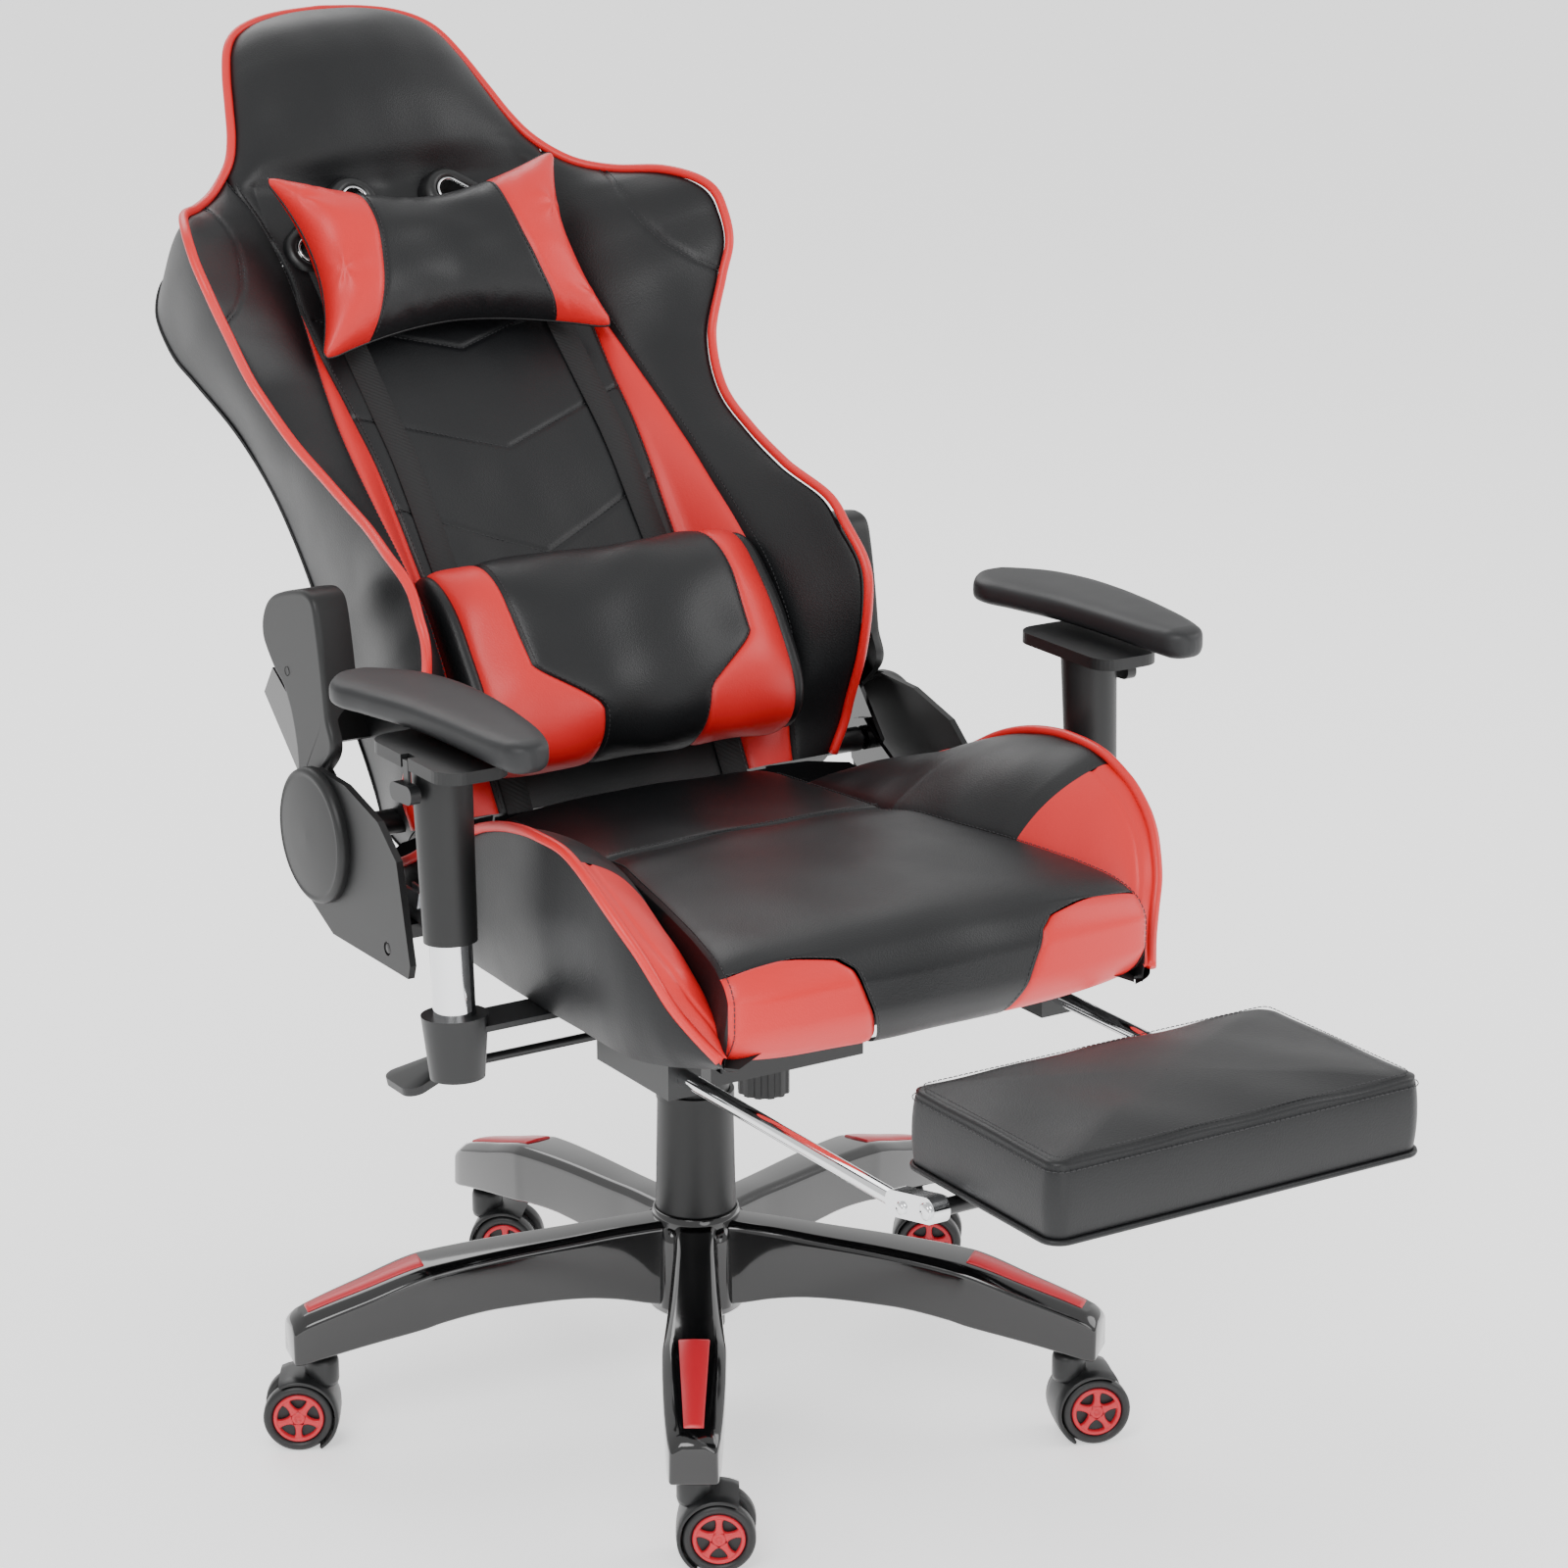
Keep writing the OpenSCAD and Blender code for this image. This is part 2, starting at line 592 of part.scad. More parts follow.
module hinge_lower_covers() color([0.1, 0.1, 0.1]) both_sides() {
    hinge_lower_cover();
    // spacers that hold the cover on the seat's hinge plate
    for (y = [48, 62]) rod_x(4, plate_x + hinge_plate_t, cover_x - cover_wall, y, frame_z + 20);
}

module hinge_upper_covers() color([0.1, 0.1, 0.1]) both_sides() on_back()
    slab_x([[-30, 70], [-46, 97], [-65, 133], [-82, 172], [-86, 184], [-80, 196], [-66, 205], [-33, 218],
            [-10, 223], [6, 220], [19, 211], [25, 196], [22, 170], [15, 149], [18, 123], [31, 92], [52, 70]],
           back_plate_x + hinge_plate_t, cover_x - 7);

module hinge_caps() color([0.1, 0.1, 0.1]) both_sides()
    rod_x(cap_r, cover_x + 0.2, cover_x + 12, hinge_y, hinge_z);

module recline_lever() color([0.1, 0.1, 0.1]) mirror([1, 0, 0]) {
    difference() {
        slab_x([[hinge_y - 14, hinge_z + 12], [hinge_y + 12, hinge_z + 12], [hinge_y + 12, hinge_z - 14],
                [hinge_y - 30, hinge_z - 20], [30, hinge_z - 34], [-14, hinge_z - 26],
                [-18, hinge_z - 12], [28, hinge_z - 14], [hinge_y - 40, hinge_z + 4]],
               lever_x, lever_x + 4);
        rod_x(sync_r, lever_x - 1, lever_x + 6, hinge_y, hinge_z);
    }
    slab_x([[-22, hinge_z - 28], [-22, hinge_z - 10], [2, hinge_z - 8], [2, hinge_z - 32]],
           lever_x - 2, lever_x);
}

module sync_rod() color([0.5, 0.5, 0.52]) rod_x(sync_r, -lever_x - 6, lever_x + 2, hinge_y, hinge_z);

// ---------------------------------------------------------------- back

function rear_y(t) = at(REAR, t, 1);

function middle_y(t) = at(MIDDLE, t, 1);

module back_frame() color([0.15, 0.15, 0.15]) on_back() {
    l = back_l;
    x = 112;
    w = 7;
    path = [[pivot_back, pivot_up + 8], [34, 70], [36, 0.30 * l], [46, 0.42 * l], [72, 0.55 * l],
            [84, 0.62 * l]];
    difference() {
        rod_x(cross_r, 8 - back_plate_x, back_plate_x - 8, pivot_back, pivot_up);
        rod_x(bush_r, -back_plate_x, back_plate_x, pivot_back, pivot_up);
    }
    // side bars, with brackets out to the hinge plates
    both_sides() {
        slab_x(concat([for (p = path) p - [w, 0]],
                      [for (k = [len(path) - 1 : -1 : 0]) path[k] + [w, 0]]), x, x + 12);
        translate([x, 32, 100]) cube([back_plate_x - x, 4, 36]);
    }
    for (k = [2, 5]) rod_x(5, -x - 1, x + 1, path[k][0], path[k][1] - 8);
}

// outline of a belt slot in the plane of the back, widened all round
module belt_slots(grow) both_sides()
    translate([78, 200, 0.712 * back_l]) rotate([90, 0, 0]) rotate([0, 0, -38])
        linear_extrude(300) rounded_rect(98 + 2 * grow, 24 + 2 * grow, 11 + grow);

module back_cushion() color([0.07, 0.07, 0.08]) on_back() difference() {
    w = back_w * 0.27;
    thick = 27;
    front = [for (t = [0 : 0.0382 : 0.7641]) [middle_y(t), t * back_l]];
    rear = [for (k = [len(front) - 1 : -1 : 0])
        [front[k][1] < 45 ? 5 : front[k][1] < 80 ? 16 : front[k][0] + thick, front[k][1]]];
    slab_x(concat(front, rear), -w, w);
    belt_slots(2);
}

// one side bolster of the back, on the sitter's right
module back_wing() on_back() difference() {
    rings = [for (b = BACK)
        let (s = b[0] * back_l, outer = b[1] * back_w / 2, inner = back_w * 0.27 + gap,
             edge = -b[2], mid = middle_y(b[0]) + 2, rear = rear_y(b[0]) - 5,
             ridge = min(edge, mid) - 2)
        [[-inner, mid, s], [-inner, rear, s], [-outer + 26, rear, s], [-outer + 4, rear - 16, s],
         [-outer - 3, (rear + edge) / 2, s], [-outer, edge, s], [-outer + 14, edge - 6, s],
         [-inner - (outer - inner) * 0.55, (ridge + mid) / 2, s]]];
    loft([for (r = rings) [for (k = [len(r) - 1 : -1 : 0]) r[k]]]);
    // channels for the frame's cross tube and its bracket
    translate([-300, pivot_back - cross_r - 2, -1]) cube([300, 2 * cross_r + 4, pivot_up + cross_r + 3]);
    translate([-300, 30, 98]) cube([300, 8, 40]);
}

module back_wing_right() color([0.08, 0.08, 0.09]) back_wing();

module back_wing_left() color([0.08, 0.08, 0.09]) mirror([1, 0, 0]) back_wing();

module back_headrest() color([0.08, 0.08, 0.09]) on_back() {
    rings = [for (h = HEAD)
        let (s = max(h[0], 0.7665) * back_l, w = h[1] * back_w / 2, front = -h[2], rear = rear_y(h[0]),
             bulge = 26 * min(1, (1.02 - h[0]) / 0.12))
        [[-w, rear - 8, s], [-w, front, s], [-w * 0.7, front - bulge * 0.7, s],
         [-w * 0.25, front - bulge, s], [w * 0.25, front - bulge, s],
         [w * 0.7, front - bulge * 0.7, s], [w, front, s], [w, rear - 8, s], [w * 0.8, rear, s],
         [-w * 0.8, rear, s]]];
    loft(rings);
}

module back_rear_panel() color([0.07, 0.07, 0.08]) on_back() difference() {
    outline = [for (b = BACK) [rear_y(b[0]), b[0] * back_l]];
    intersection() {
        slab_x(concat([[rear_y(0) - 4, 0], [rear_y(0), 0]], outline,
                      [for (k = [len(outline) - 1 : -1 : 0]) outline[k] - [4, 0]]),
               -back_w / 2, back_w / 2);
        translate([0, 200, 0]) rotate([90, 0, 0]) linear_extrude(300) polygon(concat(
            [for (b = BACK) [b[1] * back_w / 2 - 20, b[0] * back_l]],
            [for (k = [len(BACK) - 1 : -1 : 0]) [-BACK[k][1] * back_w / 2 + 20, BACK[k][0] * back_l]]));
    }
    belt_slots(8);
}

module belt_bezels() color([0.05, 0.05, 0.05]) both_sides() on_back()
    translate([78, 45.5, 0.712 * back_l]) rotate([90, 0, 0]) rotate([0, 0, -38]) difference() {
        linear_extrude(6) rounded_rect(118, 40, 19);
        translate([0, 0, -1]) linear_extrude(8) rounded_rect(98, 24, 11);
    }

// ---------------------------------------------------------------- pillows

module head_pillow() color([0.75, 0.1, 0.1]) on_back() {
    // share of the half-width, half-height, half-thickness
    plan = [[-1, 88, 12], [-0.85, 84, 26], [-0.5, 66, 36], [0, 58, 38], [0.5, 66, 36], [0.85, 84, 26],
            [1, 88, 12]];
    rings = [for (p = plan) let (x = p[0] * 148, h = p[1], t = p[2], y = 1 - 14 * abs(p[0]))
        [for (k = [0 : 11]) let (a = k * 30) [x, y + t * sin(a), 530 + h * cos(a)]]];
    loft(rings);
}

module lumbar_pillow() color([0.75, 0.1, 0.1]) on_back() {
    plan = [[-1, 84, 22], [-0.9, 92, 34], [-0.5, 96, 42], [0, 94, 44], [0.5, 96, 42], [0.9, 92, 34],
            [1, 84, 22]];
    rings = [for (p = plan) let (x = p[0] * 160, h = p[1], t = p[2])
        [for (k = [0 : 11]) let (a = k * 30) [x, -60 + t * sin(a), 112 + h * cos(a)]]];
    loft(rings);
}

// ---------------------------------------------------------------- casters

caster_yaw = [-32, -22, -36, -40, 150];

// frame of caster k: origin on the floor under its stem, +X towards its axle
module on_caster(k) {
    rotate([0, 0, base_turn + k * 360 / arms]) translate([base_radius, 0, 0])
        rotate([0, 0, caster_yaw[k] - base_turn - k * 360 / arms]) children();
}

module caster_fork(k) color([0.06, 0.06, 0.06]) on_caster(k) {
    r = wheel_d / 2;
    difference() {
        union() {
            // web between the wheels
            translate([0, 7, 0]) rotate([90, 0, 0]) linear_extrude(14) union() {
                translate([caster_trail, r]) circle(r = r - 5);
                translate([-13, r]) square([26, r + 18]);
            }
            translate([0, 0, 2 * r - 2]) cylinder(r = 13, h = 20);
            // fender on the stem's side
            translate([0, 17, 0]) rotate([90, 0, 0]) linear_extrude(34) intersection() {
                difference() {
                    translate([caster_trail, r]) circle(r = r + 7);
                    translate([caster_trail, r]) circle(r = r + 2);
                }
                translate([-20, r - 8]) square([caster_trail + 24, r + 16]);
            }
        }
        translate([0, 0, r + 16]) cylinder(r = stem_r + 0.02, h = 60);
        translate([caster_trail, 10, r]) rotate([90, 0, 0]) cylinder(r = 3.02, h = 20);
    }
    // stem
    translate([0, 0, r + 16]) cylinder(r = stem_r, h = tip_z + 20 - r - 16);
    // axle
    translate([caster_trail, 26, r]) rotate([90, 0, 0]) cylinder(r = 3, h = 52);
}

module caster_wheels(k) on_caster(k) for (side = [-1, 1])
    translate([caster_trail, side * 16.5, wheel_d / 2]) rotate([side * 90, 0, 0]) {
        r = wheel_d / 2;
        color([0.05, 0.05, 0.05]) difference() {
            union() {
                translate([0, 0, -8]) cylinder(r = r, h = 13);
                translate([0, 0, 5]) cylinder(r1 = r, r2 = r - 3, h = 3);
            }
            translate([0, 0, -9]) cylinder(r = r - 8.5, h = 20);
        }
        color([0.8, 0.1, 0.12]) difference() {
            translate([0, 0, -6]) cylinder(r = r - 8.52, h = 13.5);
            translate([0, 0, -9]) cylinder(r = 3 + fit, h = 20);
            for (i = [0 : 4]) rotate([0, 0, i * 72]) translate([r * 0.45, 0, -1]) cylinder(r = 4, h = 20);
        }
    }

// ---------------------------------------------------------------- nodes

base_star();
base_inlays();
stand_tube();
lower_sleeve();
piston_rod();
thrust_bearing();
pressure_tube();
middle_sleeve();
upper_sleeve();
tilt_housing();
tilt_spring();
tilt_pivot_bolt();
tension_knob();
lift_lever();
lift_paddle();
seat_plate();
seat_frame();
seat_cushion();
seat_bolster_right();
seat_bolster_left();
arm_brackets();
arm_tubes();
arm_post_right();
arm_post_left();
arm_pad_right();
arm_pad_left();
arm_button_right();
arm_button_left();
footrest_guides();
footrest_rails();
footrest_clevises();
footrest_board();
footrest_pad();
seat_hinge_plates();
back_hinge_plates();
hinge_lower_covers();
hinge_upper_covers();
hinge_caps();
recline_lever();
sync_rod();
back_frame();
back_cushion();
back_wing_right();
back_wing_left();
back_headrest();
back_rear_panel();
belt_bezels();
head_pillow();
lumbar_pillow();
caster_fork(0);  // caster_fork_1
caster_fork(1);  // caster_fork_2
caster_fork(2);  // caster_fork_3
caster_fork(3);  // caster_fork_4
caster_fork(4);  // caster_fork_5
caster_wheels(0);  // caster_wheels_1
caster_wheels(1);  // caster_wheels_2
caster_wheels(2);  // caster_wheels_3
caster_wheels(3);  // caster_wheels_4
caster_wheels(4);  // caster_wheels_5
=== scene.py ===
"""Looks of a racing-style swivel chair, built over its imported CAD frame.

Soft pieces are numpy surfaces in millimetres, each described in its own docstring, and are written to
Blender in metres. Hard pieces keep their CAD shape, or are replaced by a finer surface of the same size.
The back is described in its own frame: X across, n out of its front face and s up its slope.
"""

import math

import bpy
import numpy as np
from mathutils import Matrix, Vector

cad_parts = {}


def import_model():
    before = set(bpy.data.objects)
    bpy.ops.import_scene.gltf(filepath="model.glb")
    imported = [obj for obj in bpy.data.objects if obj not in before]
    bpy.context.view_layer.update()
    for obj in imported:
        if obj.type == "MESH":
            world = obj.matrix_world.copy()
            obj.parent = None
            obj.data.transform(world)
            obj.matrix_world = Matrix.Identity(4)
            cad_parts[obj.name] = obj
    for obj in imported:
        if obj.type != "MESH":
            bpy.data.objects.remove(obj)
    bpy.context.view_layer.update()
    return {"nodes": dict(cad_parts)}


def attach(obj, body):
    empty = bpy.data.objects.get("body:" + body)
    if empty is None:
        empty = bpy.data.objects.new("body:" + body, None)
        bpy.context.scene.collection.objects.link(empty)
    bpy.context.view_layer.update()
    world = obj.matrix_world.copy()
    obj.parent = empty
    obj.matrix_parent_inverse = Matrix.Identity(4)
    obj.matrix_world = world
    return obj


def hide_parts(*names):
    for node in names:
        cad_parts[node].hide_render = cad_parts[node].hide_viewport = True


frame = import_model()

bl_info = {
    "name": "Gaming chair",
    "version": (1, 0, 0),
    "blender": (4, 5, 0),
    "location": "View3D > Sidebar > Chair",
    "description": "Builds the upholstery, trim and finishes of a gaming chair on its CAD frame",
    "category": "Object",
}

TAU = 2 * math.pi
LEAN = math.radians(36.5)
HINGE = (136.0, 523.0)  # recline pivot, y and z
PIVOT = (17.5, 16.7)  # recline pivot in the back's frame, behind its front face and up its slope
BASE_TURN = -121.5  # direction of the first arm of the base, in degrees
ARMS = 5
STEM_R = 336.0  # circle of the caster stems
TRAIL = 20.0  # from a caster's stem to its axle
WHEEL_R = 30.0
CASTER_YAW = (-32, -22, -36, -40, 150)
SLOT_X, SLOT_S = 78.0, 588.1  # middle of the left belt slot
SLOT_HALF = 37.0  # half of the straight part of a slot
SLOT_R = 12.0
SLOT_TURN = math.radians(-38)
POST_FOOT = (311.0, -150.0, 445.0)  # foot of the left armrest post
POST_LEAN = math.radians(3.5)
PAD_L = 270.0
COVER_X = 284.0  # outer face of the lower hinge covers
OUT_OF_BACK = np.array([0, -math.cos(LEAN), math.sin(LEAN)])  # out of the back's front face
SIDES = ((-1, "right"), (1, "left"))

# Back piping, one side: s, X, n. Points chosen along the edge from the bottom to the top.
RAIL = np.array([
    (0, 209, 6), (29, 220, 36), (60, 218, 91), (96, 217, 132), (126, 217, 145), (163, 214, 141),
    (196, 216, 128), (249, 210, 89), (303, 211, 53), (356, 216, 24), (411, 229, 15), (461, 249, 34),
    (491, 261, 48), (528, 265, 49), (556, 260, 40), (585, 243, 12), (606, 214, -20), (624, 190, -38),
    (642, 171, -46), (664, 153, -50), (690, 141, -54), (723, 131, -59), (760, 120, -65), (789, 108, -70),
    (806, 93, -74), (817, 70, -76), (823, 42, -77), (826, 0, -77)], float)
# Front of the back along its middle: s, n.
MIDDLE = np.array([(0, 0), (60, 5), (130, 8), (241, 4), (337, -3), (394, -15), (455, -28), (511, -38),
                   (560, -47), (600, -53), (628, -56), (645, -50), (665, -36), (700, -24), (740, -22),
                   (780, -32), (806, -48), (820, -64), (826, -77)], float)
# Rear of the back: s, distance behind the lower edge's plane.
REAR = np.array([(0, 64), (206, 76), (413, 90), (632, 106), (826, 114)], float)
# Panel seams across the back, one side: s, X.
STRIP_IN = np.array([(0, 126), (240, 130), (400, 136), (500, 141), (544, 136), (604, 146), (630, 158),
                     (652, 162)], float)
STRIP_OUT = np.array([(0, 170), (240, 166), (340, 162), (400, 156), (450, 149), (500, 141.5),
                      (544, 136.5), (604, 146.5), (630, 158.5), (652, 162.5)], float)


def seg(table, t, column=1):
    """Smooth value of a table's column at t: a cubic through its rows whose slope at each row is the
    mean of its neighbours' slopes."""
    x, y = table[:, 0], table[:, column]
    d = np.diff(y) / np.diff(x)
    m = np.concatenate([[d[0]], (d[1:] + d[:-1]) / 2, [d[-1]]])
    m[1:-1][d[1:] * d[:-1] <= 0] = 0
    t = np.clip(np.asarray(t, float), x[0], x[-1])
    i = np.clip(np.searchsorted(x, t, side="right") - 1, 0, len(x) - 2)
    h = x[i + 1] - x[i]
    u = (t - x[i]) / h
    return ((1 + 2 * u) * (1 - u) ** 2 * y[i] + u * (1 - u) ** 2 * h * m[i]
            + u * u * (3 - 2 * u) * y[i + 1] + u * u * (u - 1) * h * m[i + 1])


def ease(a, b, x):
    """0 below a, 1 above b, smooth between."""
    u = np.clip((np.asarray(x, float) - a) / (b - a), 0, 1)
    return u * u * (3 - 2 * u)


def back_point(x, n, s):
    """World place of a point of the back's frame, in millimetres."""
    x, n, s = np.broadcast_arrays(np.asarray(x, float), n, s)
    v, w = -n - PIVOT[0], s - PIVOT[1]
    return np.stack([x, HINGE[0] + math.cos(LEAN) * v + math.sin(LEAN) * w,
                     HINGE[1] - math.sin(LEAN) * v + math.cos(LEAN) * w], -1)


def ripple(p, size, seed):
    """Low uneven waves about one unit high, of the given wavelength in millimetres."""
    r = np.random.RandomState(seed)
    out = 0
    for k in range(7):
        d = r.normal(size=3)
        d = d / np.linalg.norm(d) * TAU / (size * (0.6 + 0.8 * r.rand()))
        out = out + np.sin(p @ d + r.rand() * TAU)
    return out / 3.0


# ------------------------------------------------------------------ materials

def parts_of(text):
    """Red, green and blue of an sRGB hex string, each from 0 to 1."""
    return [int(text[i:i + 2], 16) / 255 for i in (0, 2, 4)]


def srgb(colour):
    """Linear colour of an sRGB hex string, or of its three parts."""
    c = parts_of(colour) if isinstance(colour, str) else colour
    return tuple(v / 12.92 if v <= 0.04045 else ((v + 0.055) / 1.055) ** 2.4 for v in c) + (1.0,)


def node(tree, kind, links=None, **values):
    """Adds a shader node, sets its properties or input values, and links its inputs."""
    n = tree.nodes.new(kind)
    for key, value in values.items():
        if hasattr(n, key):
            setattr(n, key, value)
        else:
            n.inputs[key.replace("_", " ")].default_value = value
    for key, source in (links or {}).items():
        tree.links.new(source, n.inputs[key])
    return n


def surface(name, colour, rough, metal=0.0, coat=0.0, grain=None, cloud=0.0, spec=0.5):
    """Principled finish. grain is (pattern, size in mm, depth in mm); cloud varies the roughness."""
    m = bpy.data.materials.new(name)
    m.use_nodes = True
    t = m.node_tree
    b = t.nodes["Principled BSDF"]
    b.inputs["Base Color"].default_value = srgb(colour)
    b.inputs["Roughness"].default_value = rough
    b.inputs["Metallic"].default_value = metal
    b.inputs["Coat Weight"].default_value = coat
    b.inputs["Coat Roughness"].default_value = 0.05
    b.inputs["Specular IOR Level"].default_value = spec
    where = node(t, "ShaderNodeTexCoord").outputs["Object"]
    if cloud:
        n = node(t, "ShaderNodeTexNoise", {"Vector": where}, Scale=22.0, Detail=4.0)
        r = node(t, "ShaderNodeMapRange", {"Value": n.outputs["Fac"]}, To_Min=rough - cloud,
                 To_Max=rough + cloud)
        t.links.new(r.outputs["Result"], b.inputs["Roughness"])
    if grain:
        kind, size, depth = grain
        if kind == "hide":
            a = node(t, "ShaderNodeTexNoise", {"Vector": where}, Scale=180.0, Detail=2.0)
            mix = node(t, "ShaderNodeMix", {"A": where, "B": a.outputs["Color"]}, data_type="VECTOR",
                       Factor=0.0022)
            v = node(t, "ShaderNodeTexVoronoi", {"Vector": mix.outputs["Result"]}, Scale=1000.0 / size,
                     feature="F1")
            height = v.outputs["Distance"]
        elif kind == "weave":
            w = node(t, "ShaderNodeTexWave", {"Vector": where}, Scale=1000.0 / size / 6.3,
                     bands_direction="DIAGONAL")
            height = w.outputs["Fac"]
        else:
            n = node(t, "ShaderNodeTexNoise", {"Vector": where}, Scale=1000.0 / size, Detail=3.0)
            height = n.outputs["Fac"]
        bump = node(t, "ShaderNodeBump", {"Height": height}, Strength=1.0, Distance=depth / 1000.0)
        t.links.new(bump.outputs["Normal"], b.inputs["Normal"])
    return m


def materials(black, red, cord):
    """Every finish of the chair, once. The three colours are those of the two leathers and the piping."""
    return {
        # polyurethane leather, embossed with a soft grain 1.5 mm across: broad, low highlights
        "black_hide": surface("Black synthetic leather", black, 0.42, grain=("hide", 1.5, 0.10), cloud=0.05,
                              spec=0.42),
        "red_hide": surface("Coral red synthetic leather", red, 0.42, grain=("hide", 1.5, 0.09), cloud=0.05),
        # the same leather stretched over a cord, so its grain is flatter
        "red_cord": surface("Red piping", cord, 0.38, grain=("hide", 1.2, 0.05)),
        # spun polyester, matt, its twist drawn at 0.5 mm
        "thread": surface("Dark sewing thread", "2A2A2C", 0.6, grain=("weave", 0.5, 0.05)),
        # woven elastic with coarse ribs, the dullest cloth of the chair
        "webbing": surface("Black elastic webbing", "19191A", 0.75, grain=("weave", 1.6, 0.25)),
        "lining": surface("Black lining cloth", "141415", 0.9, grain=("weave", 1.0, 0.1)),
        # moulded polypropylene with a spark-eroded texture: soft, grey-edged shine
        "plastic": surface("Textured black plastic", "0C0D0E", 0.46, grain=("noise", 0.8, 0.05)),
        "plastic_fine": surface("Satin black plastic", "161718", 0.38, grain=("noise", 0.6, 0.02)),
        # integral-skin polyurethane: a dull skin, uneven in its shine
        "foam": surface("Skinned black foam", "17181A", 0.5, grain=("noise", 0.7, 0.04), cloud=0.05),
        # glass-filled nylon from a polished mould: mirror-like edges
        "gloss": surface("Polished black nylon", "050506", 0.12, coat=0.6),
        "red_plastic": surface("Deep red plastic", "C21F2D", 0.33, grain=("noise", 0.7, 0.01)),
        # thermoplastic tread, slightly waxy
        "tyre": surface("Black caster tread", "151516", 0.42, grain=("noise", 0.6, 0.02)),
        # plated and polished, it mirrors the room
        "chrome": surface("Bright chrome", "EDEEF0", 0.06, metal=1.0),
        # zinc plate, brighter than paint and blurred
        "steel": surface("Zinc-plated steel", "A8AAAD", 0.3, metal=1.0, grain=("noise", 0.4, 0.01)),
        # baked powder with a faint orange-peel texture
        "coated": surface("Black powder coat", "131314", 0.35, grain=("noise", 0.5, 0.02)),
    }


M = {}  # the finishes by short name, filled by main()


# ------------------------------------------------------------------ mesh writing

def mesh(name, verts, faces, mat, body=None, smooth=True):
    """Object from vertices in millimetres, riding on a body."""
    me = bpy.data.meshes.new(name)
    me.from_pydata((np.asarray(verts, float) * 0.001).tolist(), [], [list(f) for f in faces])
    me.validate()
    me.materials.append(M[mat])
    me.polygons.foreach_set("use_smooth", [smooth] * len(me.polygons))
    me.update()
    o = bpy.data.objects.new(name, me)
    bpy.context.scene.collection.objects.link(o)
    if body:
        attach(o, body)
    return o


def quads(rows, cols, wrap=False, flip=False, keep=None, start=0):
    """Faces of a grid of rows by cols points; wrap joins the last column to the first."""
    i, j = np.meshgrid(np.arange(rows - 1), np.arange(cols if wrap else cols - 1), indexing="ij")
    k = (j + 1) % cols
    f = np.stack([i * cols + j, i * cols + k, (i + 1) * cols + k, (i + 1) * cols + j], -1)
    if keep is not None:
        f = f[keep]
    f = f.reshape(-1, 4) + start
    return f[:, ::-1] if flip else f


def sheet(name, p, mat, body, wrap=False, flip=False, keep=None):
    """Object from a grid of points."""
    return mesh(name, p.reshape(-1, 3), quads(p.shape[0], p.shape[1], wrap, flip, keep), mat, body)


def merge(parts):
    """One (vertices, faces) from several."""
    verts, faces, n = [], [], 0
    for v, f in parts:
        verts.append(np.asarray(v, float))
        faces += [[int(q) + n for q in face] for face in f]
        n += len(v)
    return np.concatenate(verts), faces


def tube(path, r, sides=10, closed=False):
    """(vertices, faces) of a round cord along a path, its ring turned no more than the path turns."""
    p = np.asarray(path, float)
    t = np.gradient(p, axis=0) if not closed else np.roll(p, -1, 0) - np.roll(p, 1, 0)
    t /= np.linalg.norm(t, axis=1)[:, None] + 1e-9
    up = np.array([0.31, 0.22, 0.92])
    a = up - t[0] * (up @ t[0])
    rings = []
    r = np.broadcast_to(r, len(p))
    for k in range(len(p)):
        a = a - t[k] * (a @ t[k])
        a /= np.linalg.norm(a)
        b = np.cross(t[k], a)
        w = np.arange(sides) * TAU / sides
        rings.append(p[k] + r[k] * (np.cos(w)[:, None] * a + np.sin(w)[:, None] * b))
    v = np.concatenate(rings)
    f = quads(len(p), sides, wrap=True).tolist()
    if closed:
        n = (len(p) - 1) * sides
        f += [[n + j, n + (j + 1) % sides, (j + 1) % sides, j] for j in range(sides)]
    else:
        f += [list(range(sides - 1, -1, -1)), list(range(len(v) - sides, len(v)))]
    return v, f


def spaced(path, step):
    """The path resampled at even steps."""
    p = np.asarray(path, float)
    d = np.concatenate([[0], np.cumsum(np.linalg.norm(np.diff(p, axis=0), axis=1))])
    n = max(2, int(round(d[-1] / step)) + 1)
    q = np.linspace(0, d[-1], n)
    return np.stack([np.interp(q, d, p[:, k]) for k in range(3)], -1)


def stitches(path, lift, pitch=4.6, length=3.3, r=0.42):
    """(vertices, faces) of a row of stitches along a path, each a short thread that dips at its ends.
    lift is added to the path and points out of the surface."""
    p = spaced(np.asarray(path, float) + lift, pitch)
    parts = []
    for a, b in zip(p[:-1], p[1:]):
        d = (b - a) / (np.linalg.norm(b - a) + 1e-9)
        c = (a + b) / 2
        line = np.array([c - d * length / 2 - lift * 1.2, c - d * length * 0.3, c + d * length * 0.3,
                         c + d * length / 2 - lift * 1.2])
        parts.append(tube(line, r, 5))
    return merge(parts)


def lathe(profile, sides=64, about=(0, 0)):
    """(vertices, faces) of a profile of (radius, height) turned round the vertical."""
    w = np.arange(sides) * TAU / sides
    pr = np.asarray(profile, float)
    v = np.stack([pr[:, :1] * np.cos(w) + about[0], pr[:, :1] * np.sin(w) + about[1],
                  np.repeat(pr[:, 1:], sides, 1)], -1)
    return v.reshape(-1, 3), quads(len(pr), sides, wrap=True).tolist()


